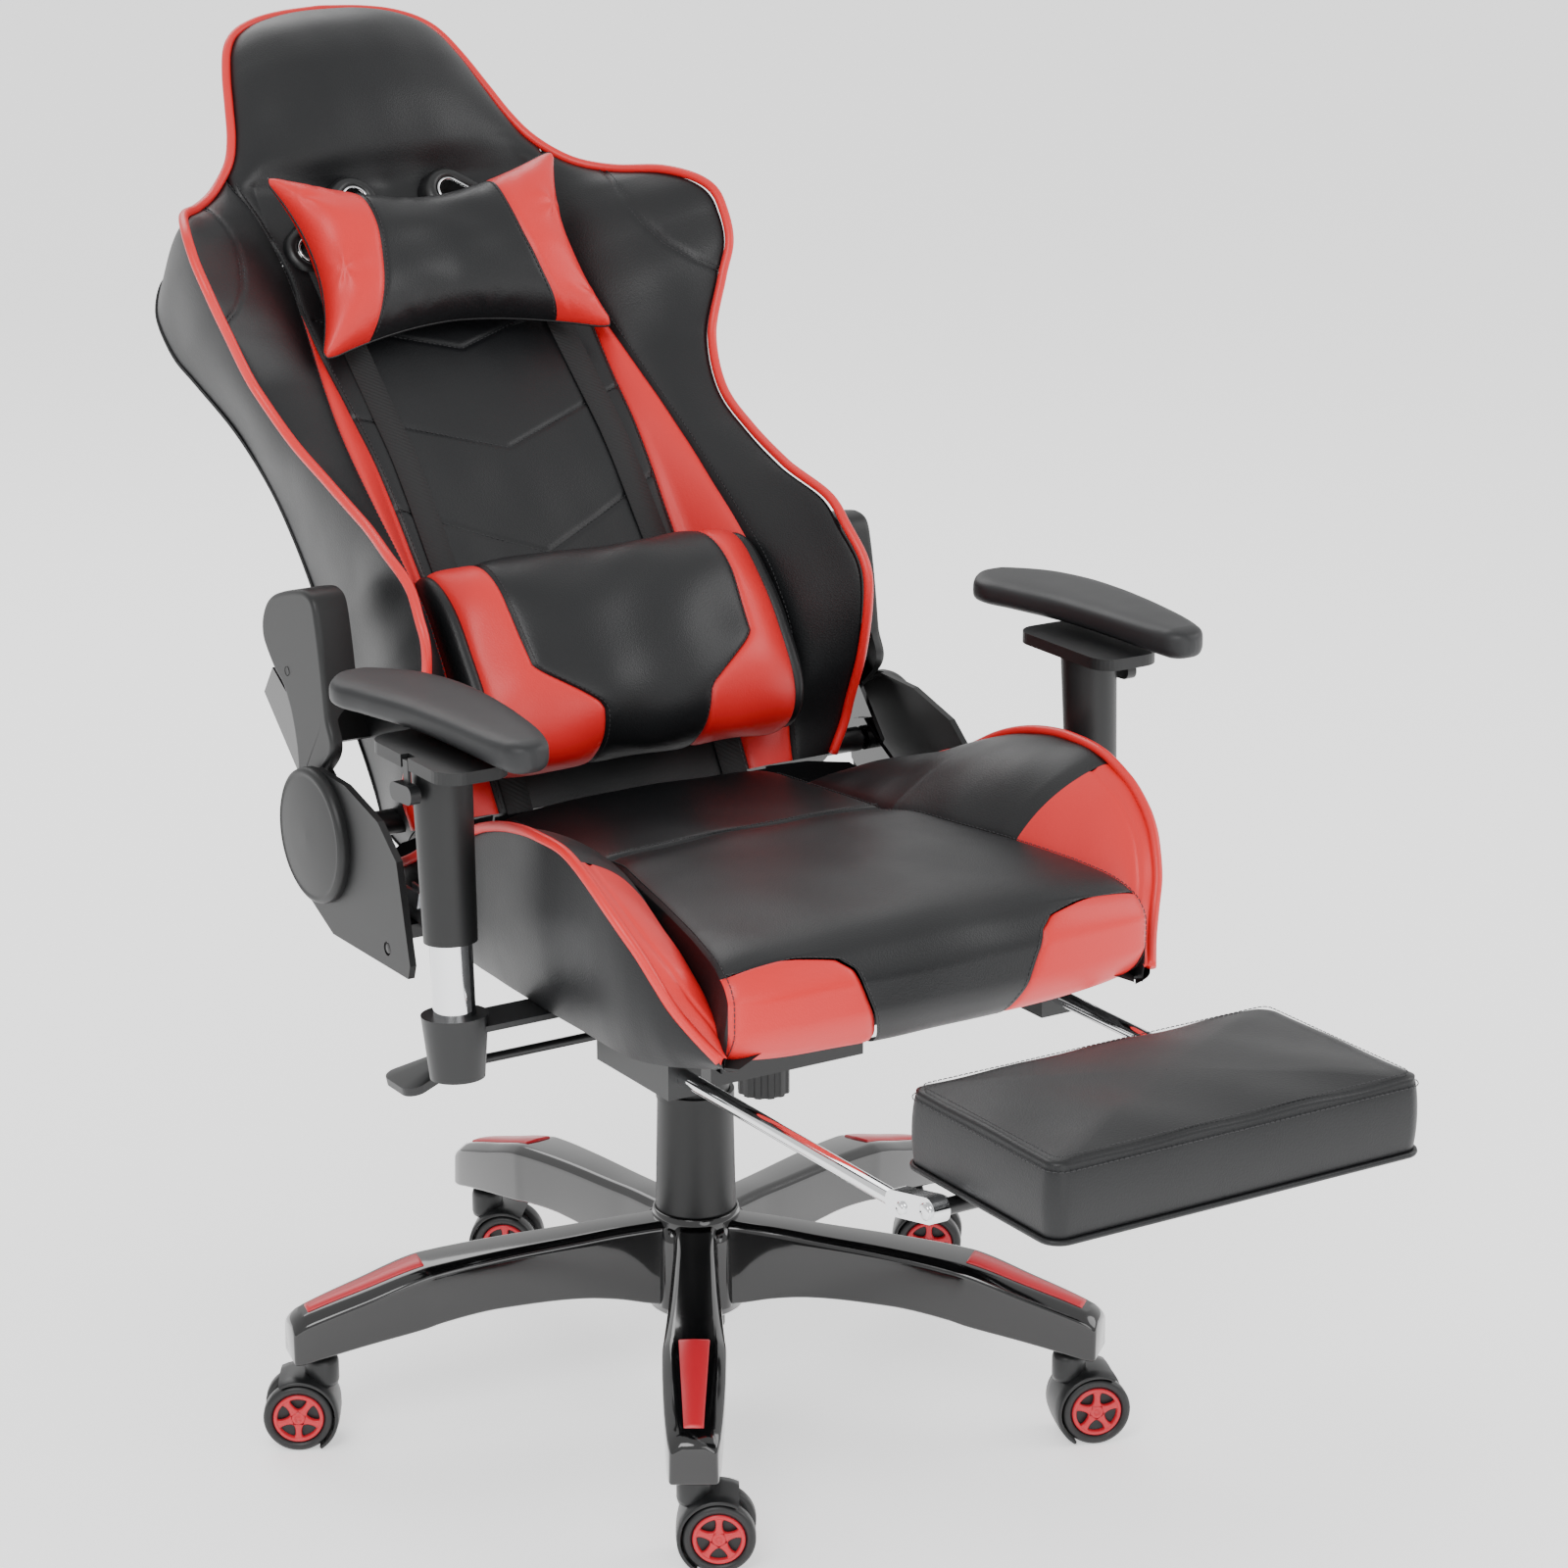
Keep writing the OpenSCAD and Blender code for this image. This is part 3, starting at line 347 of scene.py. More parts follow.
def turned(v, origin, axis_x, axis_z):
    """Vertices moved so that their Z axis is axis_z and their X axis leans towards axis_x."""
    z = np.asarray(axis_z, float) / np.linalg.norm(axis_z)
    x = np.asarray(axis_x, float) - z * (np.asarray(axis_x, float) @ z)
    x /= np.linalg.norm(x)
    return np.asarray(origin, float) + v @ np.stack([x, np.cross(z, x), z])


def soften(o, width, segments=2, angle=35):
    """Rounds an object's sharp edges, by a width in millimetres."""
    m = o.modifiers.new("Rounded edges", "BEVEL")
    m.width = width / 1000
    m.segments = segments
    m.limit_method = "ANGLE"
    m.angle_limit = math.radians(angle)
    m.miter_outer = "MITER_ARC"
    return o


def paint(nodes, name, mat, bevel=0.0):
    """Gives a CAD node its finish and softens its edges."""
    o = nodes[name]
    o.data.materials.clear()
    o.data.materials.append(M[mat])
    if bevel:
        soften(o, bevel)
    return o


def padded(o):
    return o


# ------------------------------------------------------------------ back

def half_width(s):
    return seg(RAIL, s, 1)


def edge_n(s):
    return seg(RAIL, s, 2)


def front_n(x, s):
    """Height of the back's front. The middle is flat, the sides rise to the piping in a shallow arch, and
    the head panel is one crown that falls to the piping."""
    s = np.asarray(s, float)
    w = np.maximum(half_width(s), 1.0)
    mid, edge = seg(MIDDLE, s), edge_n(s)
    u = np.clip(np.abs(x) / w, 0, 1)
    start = np.clip(138.0 / w, 0.3, 0.78)
    t = np.clip((u - start) / (1 - start), 0, 1)
    g = t ** 1.15 * (1 - 0.18 * np.sin(np.pi * t)) + 0.10 * np.sin(np.pi * t)
    wing = (mid + (edge - mid) * g + 7 * np.sin(np.pi * t) * ease(0, 80, s)
            + 5 * (1 - t) * np.clip(u / start, 0, 1) ** 4)
    crown = edge + (mid - edge) * (1 - u ** 2.4) ** 0.75
    k = ease(622, 668, s)
    pucker = 5 * np.exp(-((np.abs(x) - 66) / 30) ** 2 - ((s - 636) / 13) ** 2)
    pucker = pucker + 3 * np.exp(-(x / 16) ** 2 - ((s - 622) / 22) ** 2)
    return wing * (1 - k) + crown * k - pucker


def rear_n(s):
    return -seg(REAR, s)


def in_slot(x, s, grow=0.0):
    """True inside a belt slot: a long oval that slants down and outwards."""
    dx, ds = np.abs(x) - SLOT_X, s - SLOT_S
    p = dx * math.cos(SLOT_TURN) + ds * math.sin(SLOT_TURN)
    q = -dx * math.sin(SLOT_TURN) + ds * math.cos(SLOT_TURN)
    return (np.maximum(np.abs(p) - SLOT_HALF, 0) ** 2 + q ** 2) < (SLOT_R + grow) ** 2


def slot_ring(grow=0.0, count=72):
    """Outline of the left belt slot in X and s."""
    w = np.arange(count) * TAU / count
    r = SLOT_R + grow
    p = np.where(np.cos(w) > 0, SLOT_HALF, -SLOT_HALF) + r * np.cos(w)
    q = r * np.sin(w)
    return (SLOT_X + p * math.cos(SLOT_TURN) - q * math.sin(SLOT_TURN),
            SLOT_S + p * math.sin(SLOT_TURN) + q * math.cos(SLOT_TURN))


def near_line(x, s, line):
    """Distance from points to a polyline of (X, s)."""
    best = np.full(np.shape(x), 1e9)
    for (ax, a_s), (bx, b_s) in zip(line[:-1], line[1:]):
        dx, ds = bx - ax, b_s - a_s
        t = np.clip(((x - ax) * dx + (s - a_s) * ds) / (dx * dx + ds * ds), 0, 1)
        best = np.minimum(best, np.hypot(x - ax - t * dx, s - a_s - t * ds))
    return best


CHEVRONS = [[(-131, 492), (0, 447), (131, 492)], [(-134, 386), (-92, 371), (0, 336), (92, 371), (134, 386)],
            [(-130, 290), (-62, 257), (0, 229), (62, 257), (130, 290)]]
PATCH_SEAM = [(204, 612), (200, 585), (200, 560), (204, 535), (214, 508), (232, 483), (252, 466)]


def panel(name, lo, hi, s0, s1, mat, rows, cols, side=1, seams=(True, True), lines=(), hole=False):
    """One leather panel of the back's front between two seams. Its edges tuck 4 mm into the seams, stitched
    lines sink into it, and it has a low uneven swell."""
    s = np.linspace(s0, s1, rows)[:, None]
    u = np.linspace(0, 1, cols)[None]
    u = u - 0.06 * np.sin(TAU * u)
    left, right = lo(s), hi(s)
    x = left + (right - left) * u
    s = np.broadcast_to(s, x.shape)
    n = front_n(x, s)
    d = np.full(x.shape, 99.0)
    if seams[0]:
        d = np.minimum(d, x - left)
    if seams[1]:
        d = np.minimum(d, right - x)
    n = n - 4.0 * np.exp(-np.clip(d, 0, None) / 3.0) + 1.2 * (1 - np.exp(-np.clip(d, 0, None) / 14.0))
    for line in lines:
        n = n - 1.6 * np.exp(-(near_line(x, s, line) / 2.2) ** 2)
    p = back_point(side * x, n, s)
    p = p + 0.35 * ripple(p, 70, 3)[..., None] * OUT_OF_BACK
    keep = None
    if hole:
        cx = (x[1:, 1:] + x[:-1, :-1]) / 2
        cs = (s[1:, 1:] + s[:-1, :-1]) / 2
        keep = ~in_slot(cx, cs, 2.0)
    return padded(sheet(name, p, mat, "back", flip=side < 0, keep=keep))


def back_front():
    """Front of the back: middle and head panel, red strips and black wings, with their stitching."""
    def rim(s):
        return half_width(s) - 1.5
    def middle_edge(s):
        return np.where(s > 650, rim(s), np.minimum(seg(STRIP_IN, s), rim(s)))
    out = [panel("back_middle_leather", lambda s: -middle_edge(s), middle_edge, 0, 825.4, "black_hide",
                 400, 141, lines=CHEVRONS, hole=True)]
    for side, word in SIDES:
        out.append(panel(f"back_strip_{word}", lambda s: seg(STRIP_IN, s), lambda s: seg(STRIP_OUT, s),
                         0, 500, "red_hide", 200, 14, side))
        out.append(panel(f"back_wing_{word}_leather", lambda s: seg(STRIP_OUT, s), rim, 0, 652,
                         "black_hide", 300, 48, side, lines=[PATCH_SEAM]))
    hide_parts("back_cushion", "back_headrest")
    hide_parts("back_wing_right")
    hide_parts("back_wing_left")
    rows = []
    for line in CHEVRONS:
        q = spaced([(a, b, 0) for a, b in line], 3)
        on_front = back_point(q[:, 0], front_n(q[:, 0], q[:, 1]) - 0.6, q[:, 1])
        rows.append(stitches(on_front, OUT_OF_BACK * 0.5))
    for side in (-1, 1):
        s = np.linspace(4, 640, 200)
        for edge, off in ((STRIP_IN, -3.0), (STRIP_OUT, 3.2)):
            x = seg(edge, s) + off
            rows.append(stitches(back_point(side * x, front_n(x, s) - 0.8, s), OUT_OF_BACK * 0.5))
        q = spaced([(a, b, 0) for a, b in PATCH_SEAM], 3)
        for off in (-2.6, 2.6):
            x = q[:, 0] + off
            rows.append(stitches(back_point(side * x, front_n(x, q[:, 1]) - 0.3, q[:, 1]), OUT_OF_BACK * 0.5))
    mesh("back_stitching", *merge(rows), "thread", "back")


def rail_points(count=420):
    """Edge of the back from its lower right corner, over the top, to its lower left corner."""
    k = np.linspace(0, len(RAIL) - 1, count)
    table = np.column_stack([np.arange(len(RAIL)), RAIL])
    s, x, n = seg(table, k, 1), seg(table, k, 2), seg(table, k, 3)
    x[-1] = 0
    s = np.concatenate([s, s[-2::-1]])
    n = np.concatenate([n, n[-2::-1]])
    x = np.concatenate([-x, x[-2::-1]])
    return x, n, s


def back_shell(cord):
    """Sides, rear and lower edge of the back, with piping of the given radius. The side panel bows out 4 mm
    between the front piping and the rear seam, and the rear is a shallow crown inside that seam."""
    x, n, s = rail_points()
    d = np.stack([np.gradient(x), np.gradient(s)], -1)
    d /= np.linalg.norm(d, axis=1)[:, None] + 1e-9
    out = np.stack([-d[:, 1], d[:, 0]], -1)
    rear = rear_n(s) + 12
    t = np.linspace(0, 1, 22)[:, None]
    inset = 3 + 13 * ease(0, 1, t) - 4 * np.sin(np.pi * t) ** 0.8
    px = x - out[:, 0] * inset
    ps = np.clip(s - out[:, 1] * inset * ease(0, 60, s), 0, None)
    pn = n - 1 + (rear - n) * t - 3 * np.exp(-t * 30)
    side = back_point(px, pn, ps)
    side = side + 0.5 * ripple(side, 110, 9)[..., None] * np.array([1, 0, 0]) * np.sign(x)[:, None]
    o = padded(sheet("back_side_leather", side, "black_hide", "back"))
    # rear panel: rows across the back between the two ends of the rear seam
    end_x, end_n, end_s = px[-1], pn[-1], ps[-1]
    half = len(x) // 2 + 1
    u = np.linspace(-1, 1, 81)[None]
    rx = -end_x[:half, None] * u
    rn = end_n[:half, None] - 12 * (1 - np.abs(u) ** 5)
    rs = np.broadcast_to(end_s[:half, None], rx.shape)
    cx, cs = (rx[1:, 1:] + rx[:-1, :-1]) / 2, (rs[1:, 1:] + rs[:-1, :-1]) / 2
    o = sheet("back_rear_leather", back_point(rx, rn, rs), "black_hide", "back", keep=~in_slot(cx, cs, 4.0),
              flip=True)
    padded(o)
    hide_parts("back_rear_panel")
    # lower edge: from the front's first row to the rear's
    fx = np.linspace(-207, 207, 60)
    t = np.linspace(0, 1, 8)[:, None]
    front = front_n(fx, np.zeros(60))
    low = back_point(np.broadcast_to(fx, (8, 60)), front + (rear_n(0.0) - front) * t,
                     np.broadcast_to(-3 * np.sin(np.pi * t), (8, 60)))
    sheet("back_lower_edge", low, "black_hide", "back", flip=True)
    piping = back_point(x + out[:, 0], n + 0.5, s + out[:, 1])
    mesh("back_piping", *tube(spaced(piping, 4), cord, 10), "red_cord", "back")
    seam = back_point(end_x + 0.5 * np.sign(end_x), end_n - 1, end_s)
    mesh("back_rear_seam", *tube(spaced(seam, 6), 1.6, 6), "black_hide", "back")


def belt_slots():
    """Lining, bright trim ring and bezel of the two belt slots. A bezel's section is a low arch, given by
    how far each ring lies outside the slot and its height."""
    section = ((1, -44), (0.6, -41), (2, -38.4), (5, -36.6), (9, -37.6), (12.5, -42), (14, -52))
    for side, word in SIDES:
        sx, ss = slot_ring()
        rings = np.stack([back_point(side * sx, depth, ss) for depth in np.linspace(-42, -118, 10)])
        sheet(f"belt_slot_lining_{word}", rings, "lining", "back", wrap=True, flip=side < 0)
        ring = back_point(side * sx, -38.5, ss)
        mesh(f"belt_slot_trim_{word}", *tube(ring, 1.3, 8, closed=True), "chrome", "back")
        rows = []
        for grow, height in section:
            gx, gs = slot_ring(grow)
            rows.append(back_point(side * gx, height, gs))
        o = sheet(f"belt_bezel_{word}", np.stack(rows), "plastic_fine", "back", wrap=True, flip=side > 0)
        if side < 0:
            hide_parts("belt_bezels")


def straps():
    """Webbing that holds the pillows: two bands 25 mm wide down the front of the back and under its edge."""
    for side, word in SIDES:
        s = np.linspace(584, -1, 200)
        x = 104 + 4 * (584 - s) / 584
        n = np.maximum(front_n(x, s), front_n(x - 10, s)) + 2.2
        s = np.concatenate([s, np.full(18, -4.5)])
        n = np.concatenate([n, np.linspace(n[-1], -60, 18)])
        x = np.concatenate([x, np.full(18, x[-1])])
        u = np.array([-12.5, -12.2, 0, 12.2, 12.5])
        thick = np.array([0, 0.8, 0.9, 0.8, 0])
        under = s[:, None] < -4
        grid = back_point(side * (x[:, None] + u), n[:, None] + thick * ~under, s[:, None] - thick * under)
        sheet(f"pillow_strap_{word}", grid, "webbing", "back", flip=side > 0)


def pillow_grid(us, vs):
    """Half of a pinched pillow over a unit square: outline drawn in between its corners, and a thickness
    that falls to nothing at the outline. Returns X, s and thickness share."""
    u, v = np.broadcast_arrays(us, vs)
    tip = np.clip(np.abs(u * v) - 0.86, 0, 1) / 0.14
    x = 150 * u * (1 - 0.17 * (1 - v * v) * np.abs(u) ** 2) * (1 - 0.05 * tip ** 1.5)
    s = 94 * v * (1 - 0.36 * (1 - np.abs(u) ** 1.7)) * (1 - 0.05 * tip ** 1.5)
    k = (np.clip(1 - np.abs(u) ** 4, 0, 1) ** 0.5) * (np.clip(1 - np.abs(v) ** 3, 0, 1) ** 0.55)
    return x, s, k


def head_pillow():
    """Neck pillow: pinched outline with four pointed corners, black middle and red ends, bowed seams."""
    stitch = []
    def cut(v):
        return 0.545 - 0.085 * v - 0.05 * (1 - v * v)
    def place(u, v, front):
        x, s, k = pillow_grid(u, v)
        base = -10 + 15 * np.abs(u) ** 1.5
        crease = 0
        for j, (cu, cv) in enumerate(((0.35, 1), (0.62, 1), (0.86, 0.3), (0.7, -1), (0.2, -1), (-0.3, -1),
                                      (-0.6, -1), (-0.85, -0.2), (-0.7, 1), (-0.15, 1), (0.93, -0.7),
                                      (-0.93, 0.7))):
            r = np.hypot((u - cu) * 1.5, v - cv) + 0.02
            ang = np.arctan2(v - cv, (u - cu) * 1.5)
            crease = crease + np.exp(-(r / 0.3) ** 2) * np.sin(5 * ang + j) * np.clip(r / 0.12, 0, 1)
        n = base + k * (42 if front else -26)
        dip = np.abs(np.abs(u) - cut(v))
        n = n - (2.2 * np.exp(-(dip * 150 / 3.0) ** 2) if front else 0) * np.sqrt(k)
        p = back_point(x - 7, n, 528 + s)
        return p + ((1.0 * ripple(p, 62, 5) + 1.5 * crease) * k)[..., None] * OUT_OF_BACK
    v = np.sin(np.linspace(-np.pi / 2, np.pi / 2, 90))[:, None]
    for front in (True, False):
        w = "front" if front else "rear"
        t = np.linspace(0, 1, 60)[None]
        o = sheet(f"head_pillow_middle_{w}", place(-cut(v) + 2 * cut(v) * t, v, front), "black_hide", "back",
                  flip=not front)
        padded(o)
        if front:
            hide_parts("head_pillow")
        for side, word in SIDES:
            e = np.sin(np.linspace(0, np.pi / 2, 44))[None]
            u = side * (cut(v) + (1 - cut(v)) * e)
            o = sheet(f"head_pillow_{word}_{w}", place(u, v, front), "red_hide", "back",
                      flip=front == (side < 0))
            padded(o)
    vv = np.linspace(-0.97, 0.97, 80)
    for side in (-1, 1):
        stitch.append(stitches(place(side * (cut(vv) - 0.022), vv, True), OUT_OF_BACK * 0.5))
    edge = []
    for a, b in (((-1, -1), (1, -1)), ((1, -1), (1, 1)), ((1, 1), (-1, 1)), ((-1, 1), (-1, -1))):
        t = np.linspace(0, 1, 60)[:-1]
        edge.append(np.stack([a[0] + (b[0] - a[0]) * t, a[1] + (b[1] - a[1]) * t], -1))
    e = np.concatenate(edge)
    seam = place(e[:, 0], e[:, 1], True)
    mesh("head_pillow_edge_seam", *tube(seam, 1.2, 6, closed=True), "black_hide", "back")
    mesh("head_pillow_stitching", *merge(stitch), "thread", "back")


def lumbar_pillow():
    """Lumbar pillow: a fat D in section, 320 mm wide with rounded ends. Its black middle is bordered by red
    bands that widen towards the middle low down, and its ends are black."""
    inner = np.array([(0, 48), (12, 50), (46, 54), (52, 58), (84, 100), (92, 108), (150, 112), (240, 112)],
                     float)
    outer = 150.0  # seam between a red band and its black end
    def place(x, a):
        """x from -165 to 165, a round the section from the lower rear edge over the front."""
        e = np.clip(np.abs(x) / 166.0, 0, 1)
        k = np.clip(1 - e ** 6, 0, 1) ** 0.5
        waist = 1 - 0.07 * (1 - e ** 2)
        sw = np.sign(np.sin(a)) * np.abs(np.sin(a)) ** 0.80
        cw = np.sign(np.cos(a)) * np.abs(np.cos(a)) ** 0.86
        s = 110 + 100 * waist * sw * (0.80 + 0.20 * k) + 4 * e * e
        n = (57 + np.where(np.cos(a) > 0, 52, 46) * cw * (0.45 + 0.55 * k) - 16 * e ** 3
             + 9 * np.cos(a) * (1 - e * e))
        return x, n, s
    def world(x, a):
        px, n, s = place(x, a)
        p = back_point(px, n, s)
        c = np.stack([np.zeros_like(px + a), np.cos(a) + 0 * px, np.sin(a) + 0 * px], -1)
        w = np.stack([c[..., 0], -math.cos(LEAN) * c[..., 1] + math.sin(LEAN) * c[..., 2],
                      math.sin(LEAN) * c[..., 1] + math.cos(LEAN) * c[..., 2]], -1)
        return p + w * (1.6 * ripple(p, 75, 12))[..., None], w
    a = np.linspace(-np.pi, np.pi, 181)[:, None]
    _, _, sa = place(130.0, a)
    cut = np.interp(sa, inner[:, 0], inner[:, 1])
    cut = np.where(np.cos(a) > -0.2, cut, np.interp(np.sin(a), [-1, 1], [50, 122]))
    t = np.linspace(0, 1, 90)[None]
    def tuck(p, w, d):
        return p - w * (2.6 * np.exp(-d / 2.6) - 0.8 * (1 - np.exp(-d / 10)))[..., None]
    x = -cut + 2 * cut * t
    p, w = world(x, a)
    o = padded(sheet("lumbar_pillow_middle", tuck(p, w, cut - np.abs(x)), "black_hide", "back"))
    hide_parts("lumbar_pillow")
    rows = []
    for side, word in SIDES:
        e = np.linspace(0, 1, 50)[None]
        x = cut + (outer - cut) * e
        p, w = world(side * x, a)
        o = padded(sheet(f"lumbar_pillow_band_{word}", tuck(p, w, np.minimum(x - cut, outer - x)), "red_hide",
                         "back", flip=side < 0))
        e = np.linspace(0, 1, 24)[None]
        p, w = world(side * outer + 0 * e, a)
        p = tuck(p, w, 30 * e)
        centre = back_point(side * outer + 0 * e, 48.0, 110.0)
        p = p + (centre - p) * (1 - np.sqrt(np.clip(1 - e * e, 0, 1)))[..., None]
        p[..., 0] = side * (outer + 15 * (1 - (1 - e) ** 2.2))
        o = padded(sheet(f"lumbar_pillow_end_{word}", p, "black_hide", "back", flip=side < 0))
        line, w = world(side * (cut[:, 0] - 3.0), a[:, 0])
        keep = np.cos(a[:, 0]) > -0.3
        rows.append(stitches(line[keep] - w[keep] * 0.7, OUT_OF_BACK * 0.5))
    mesh("lumbar_pillow_stitching", *merge(rows), "thread", "back")


# ------------------------------------------------------------------ seat

# Seat piping, one side, from its rear lower end to the front lower corner: y, X, z.
SEAT_RAIL = np.array([
    (106, 246, 496), (85, 249, 503), (60, 251, 511), (30, 253, 524), (0, 253, 540), (-40, 254, 556),
    (-80, 255, 577), (-113, 256, 590), (-150, 256, 599), (-190, 256, 603), (-232, 255, 601), (-268, 255, 588),
    (-294, 253, 572), (-312, 249, 557), (-326, 243, 541), (-338, 236, 522), (-347, 227, 502), (-360, 215, 482),
    (-376, 203, 464)], float)
# Middle of the seat from rear to front and down the front: y, z.
SEAT_PROFILE = np.array([(100, 520), (80, 527), (0, 533), (-60, 537), (-91, 538), (-98, 538), (-160, 544),
                         (-230, 545), (-300, 543), (-340, 541), (-362, 536), (-378, 526), (-387, 508),
                         (-387, 486), (-378, 466), (-366, 455), (-352, 452)], float)


def seat_edge(y):
    """Half-width of the seat's middle panel."""
    return np.interp(-np.asarray(y, float), [-110, 93, 150, 250, 330, 366, 400],
                     [135, 137, 150, 172, 189, 195, 198])


def profile_points(count):
    """Even points along the seat's middle profile: y, z, and the outward normal."""
    k = np.arange(len(SEAT_PROFILE))
    t = np.linspace(0, len(k) - 1, 600)
    table = np.column_stack([k, SEAT_PROFILE])
    p = np.stack([0 * t, seg(table, t, 1), seg(table, t, 2)], -1)
    d = np.concatenate([[0], np.cumsum(np.linalg.norm(np.diff(p, axis=0), axis=1))])
    q = np.linspace(0, d[-1], count)
    y, z = np.interp(q, d, p[:, 1]), np.interp(q, d, p[:, 2])
    ty, tz = np.gradient(y), np.gradient(z)
    l = np.hypot(ty, tz)
    return y, z, tz / l, -ty / l, q


def seat_middle():
    """Middle of the seat: a cushion that rolls over the front, split by a cross seam, with red patches at
    its front corners."""
    y, z, ny, nz, q = profile_points(260)
    y, z, ny, nz, q = (k[:, None] for k in (y, z, ny, nz, q))
    edge = seat_edge(y)
    front = np.clip((-y - 300) / 66, 0, 1)
    # the red patches begin where the front turns down
    fall = np.where(y < -300, 541 - z, -1.0)
    red = np.interp(fall, [-1, 3.5, 9, 14, 22, 40, 60, 88], [400, 400, 135, 100, 88, 80, 72, 60])
    cut = np.minimum(edge, red)
    def lay(x, d):
        u = np.abs(x) / edge
        lift = 5 * (1 - u ** 2) - 7 * u ** 8 * (0.4 + 0.6 * front)
        lift = lift - 3.6 * np.exp(-np.clip(d, 0, None) / 2.8)
        seam = np.abs(y + 95 - 0.0004 * x * x)
        lift = lift - 4.0 * np.exp(-(seam / 3.5) ** 1.5) + 3.5 * np.exp(-((y + 125) / 26) ** 2)
        p = np.stack([x + 0 * y, y + ny * lift, z + nz * lift], -1)
        rise = 0.8 * ripple(p, 90, 21) * np.clip(1 - u ** 6, 0, 1)
        return p + rise[..., None] * np.stack([0 * ny, ny, nz], -1)
    t = np.linspace(-1, 1, 131)[None]
    x = cut * t
    o = padded(sheet("seat_middle_leather", lay(x, edge - np.abs(x)), "black_hide", "seat", flip=True))
    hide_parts("seat_cushion")
    rows = []
    pick = np.where((fall[:, 0] > 3.0))[0]
    for side, word in SIDES:
        e = np.linspace(0, 1, 40)[None]
        sub = slice(pick[0], None)
        save = (y, z, ny, nz, edge, front)
        y, z, ny, nz, edge, front = (k[sub] for k in save)
        c = cut[sub]
        x = side * (c + (edge - c) * e)
        d = np.minimum(np.abs(x) - c, edge - np.abs(x))
        o = padded(sheet(f"seat_front_patch_{word}", lay(x, d), "red_hide", "seat", flip=side > 0))
        line = lay(side * (c - 2.6), 9.0 + 0 * c)[:, 0]
        rows.append(stitches(line[4:], np.array([0, -0.4, 0.3])))
        y, z, ny, nz, edge, front = save
        # side of the raised middle, from its top seam down into the bolster
        g = np.linspace(0, 1, 14)[None]
        top = lay(side * edge, 0 * edge)
        drop = np.interp(-y, [-110, 150, 230, 300, 350, 380, 400], [10, 10, 14, 30, 46, 50, 50])
        wall = top + np.stack([side * (3.0 * g + 0 * y), 0 * g - 6 * ease(0, 1, g) * ny * front,
                               -drop * g], -1)
        wall[..., 2] = np.maximum(wall[..., 2], 452)
        o = sheet(f"seat_gusset_{word}", wall, "black_hide", "seat", flip=side > 0)
        line = lay(side * (edge - 3.0), 9.0 + 0 * edge)[:, 0]
        rows.append(stitches(line[10:-6] - np.array([0, 0, 0.4]), np.array([0, 0, 0.5])))
    xs = np.linspace(-132, 132, 80)
    yy = -91.6 + 0.0004 * xs * xs
    zz = np.interp(-yy, -SEAT_PROFILE[:9, 0], SEAT_PROFILE[:9, 1]) + 5 * (1 - (xs / 137) ** 2) + 0.3
    rows.append(stitches(np.stack([xs, yy, zz], -1), np.array([0, 0, 0.5])))
    mesh("seat_stitching", *merge(rows), "thread", "seat")
    gx, gy = np.meshgrid(np.linspace(-205, 205, 20), np.linspace(-352, 100, 20))
    under = np.stack([gx, gy, 0 * gx + 466.2], -1)
    sheet("seat_under_cloth", under, "lining", "seat", flip=True)


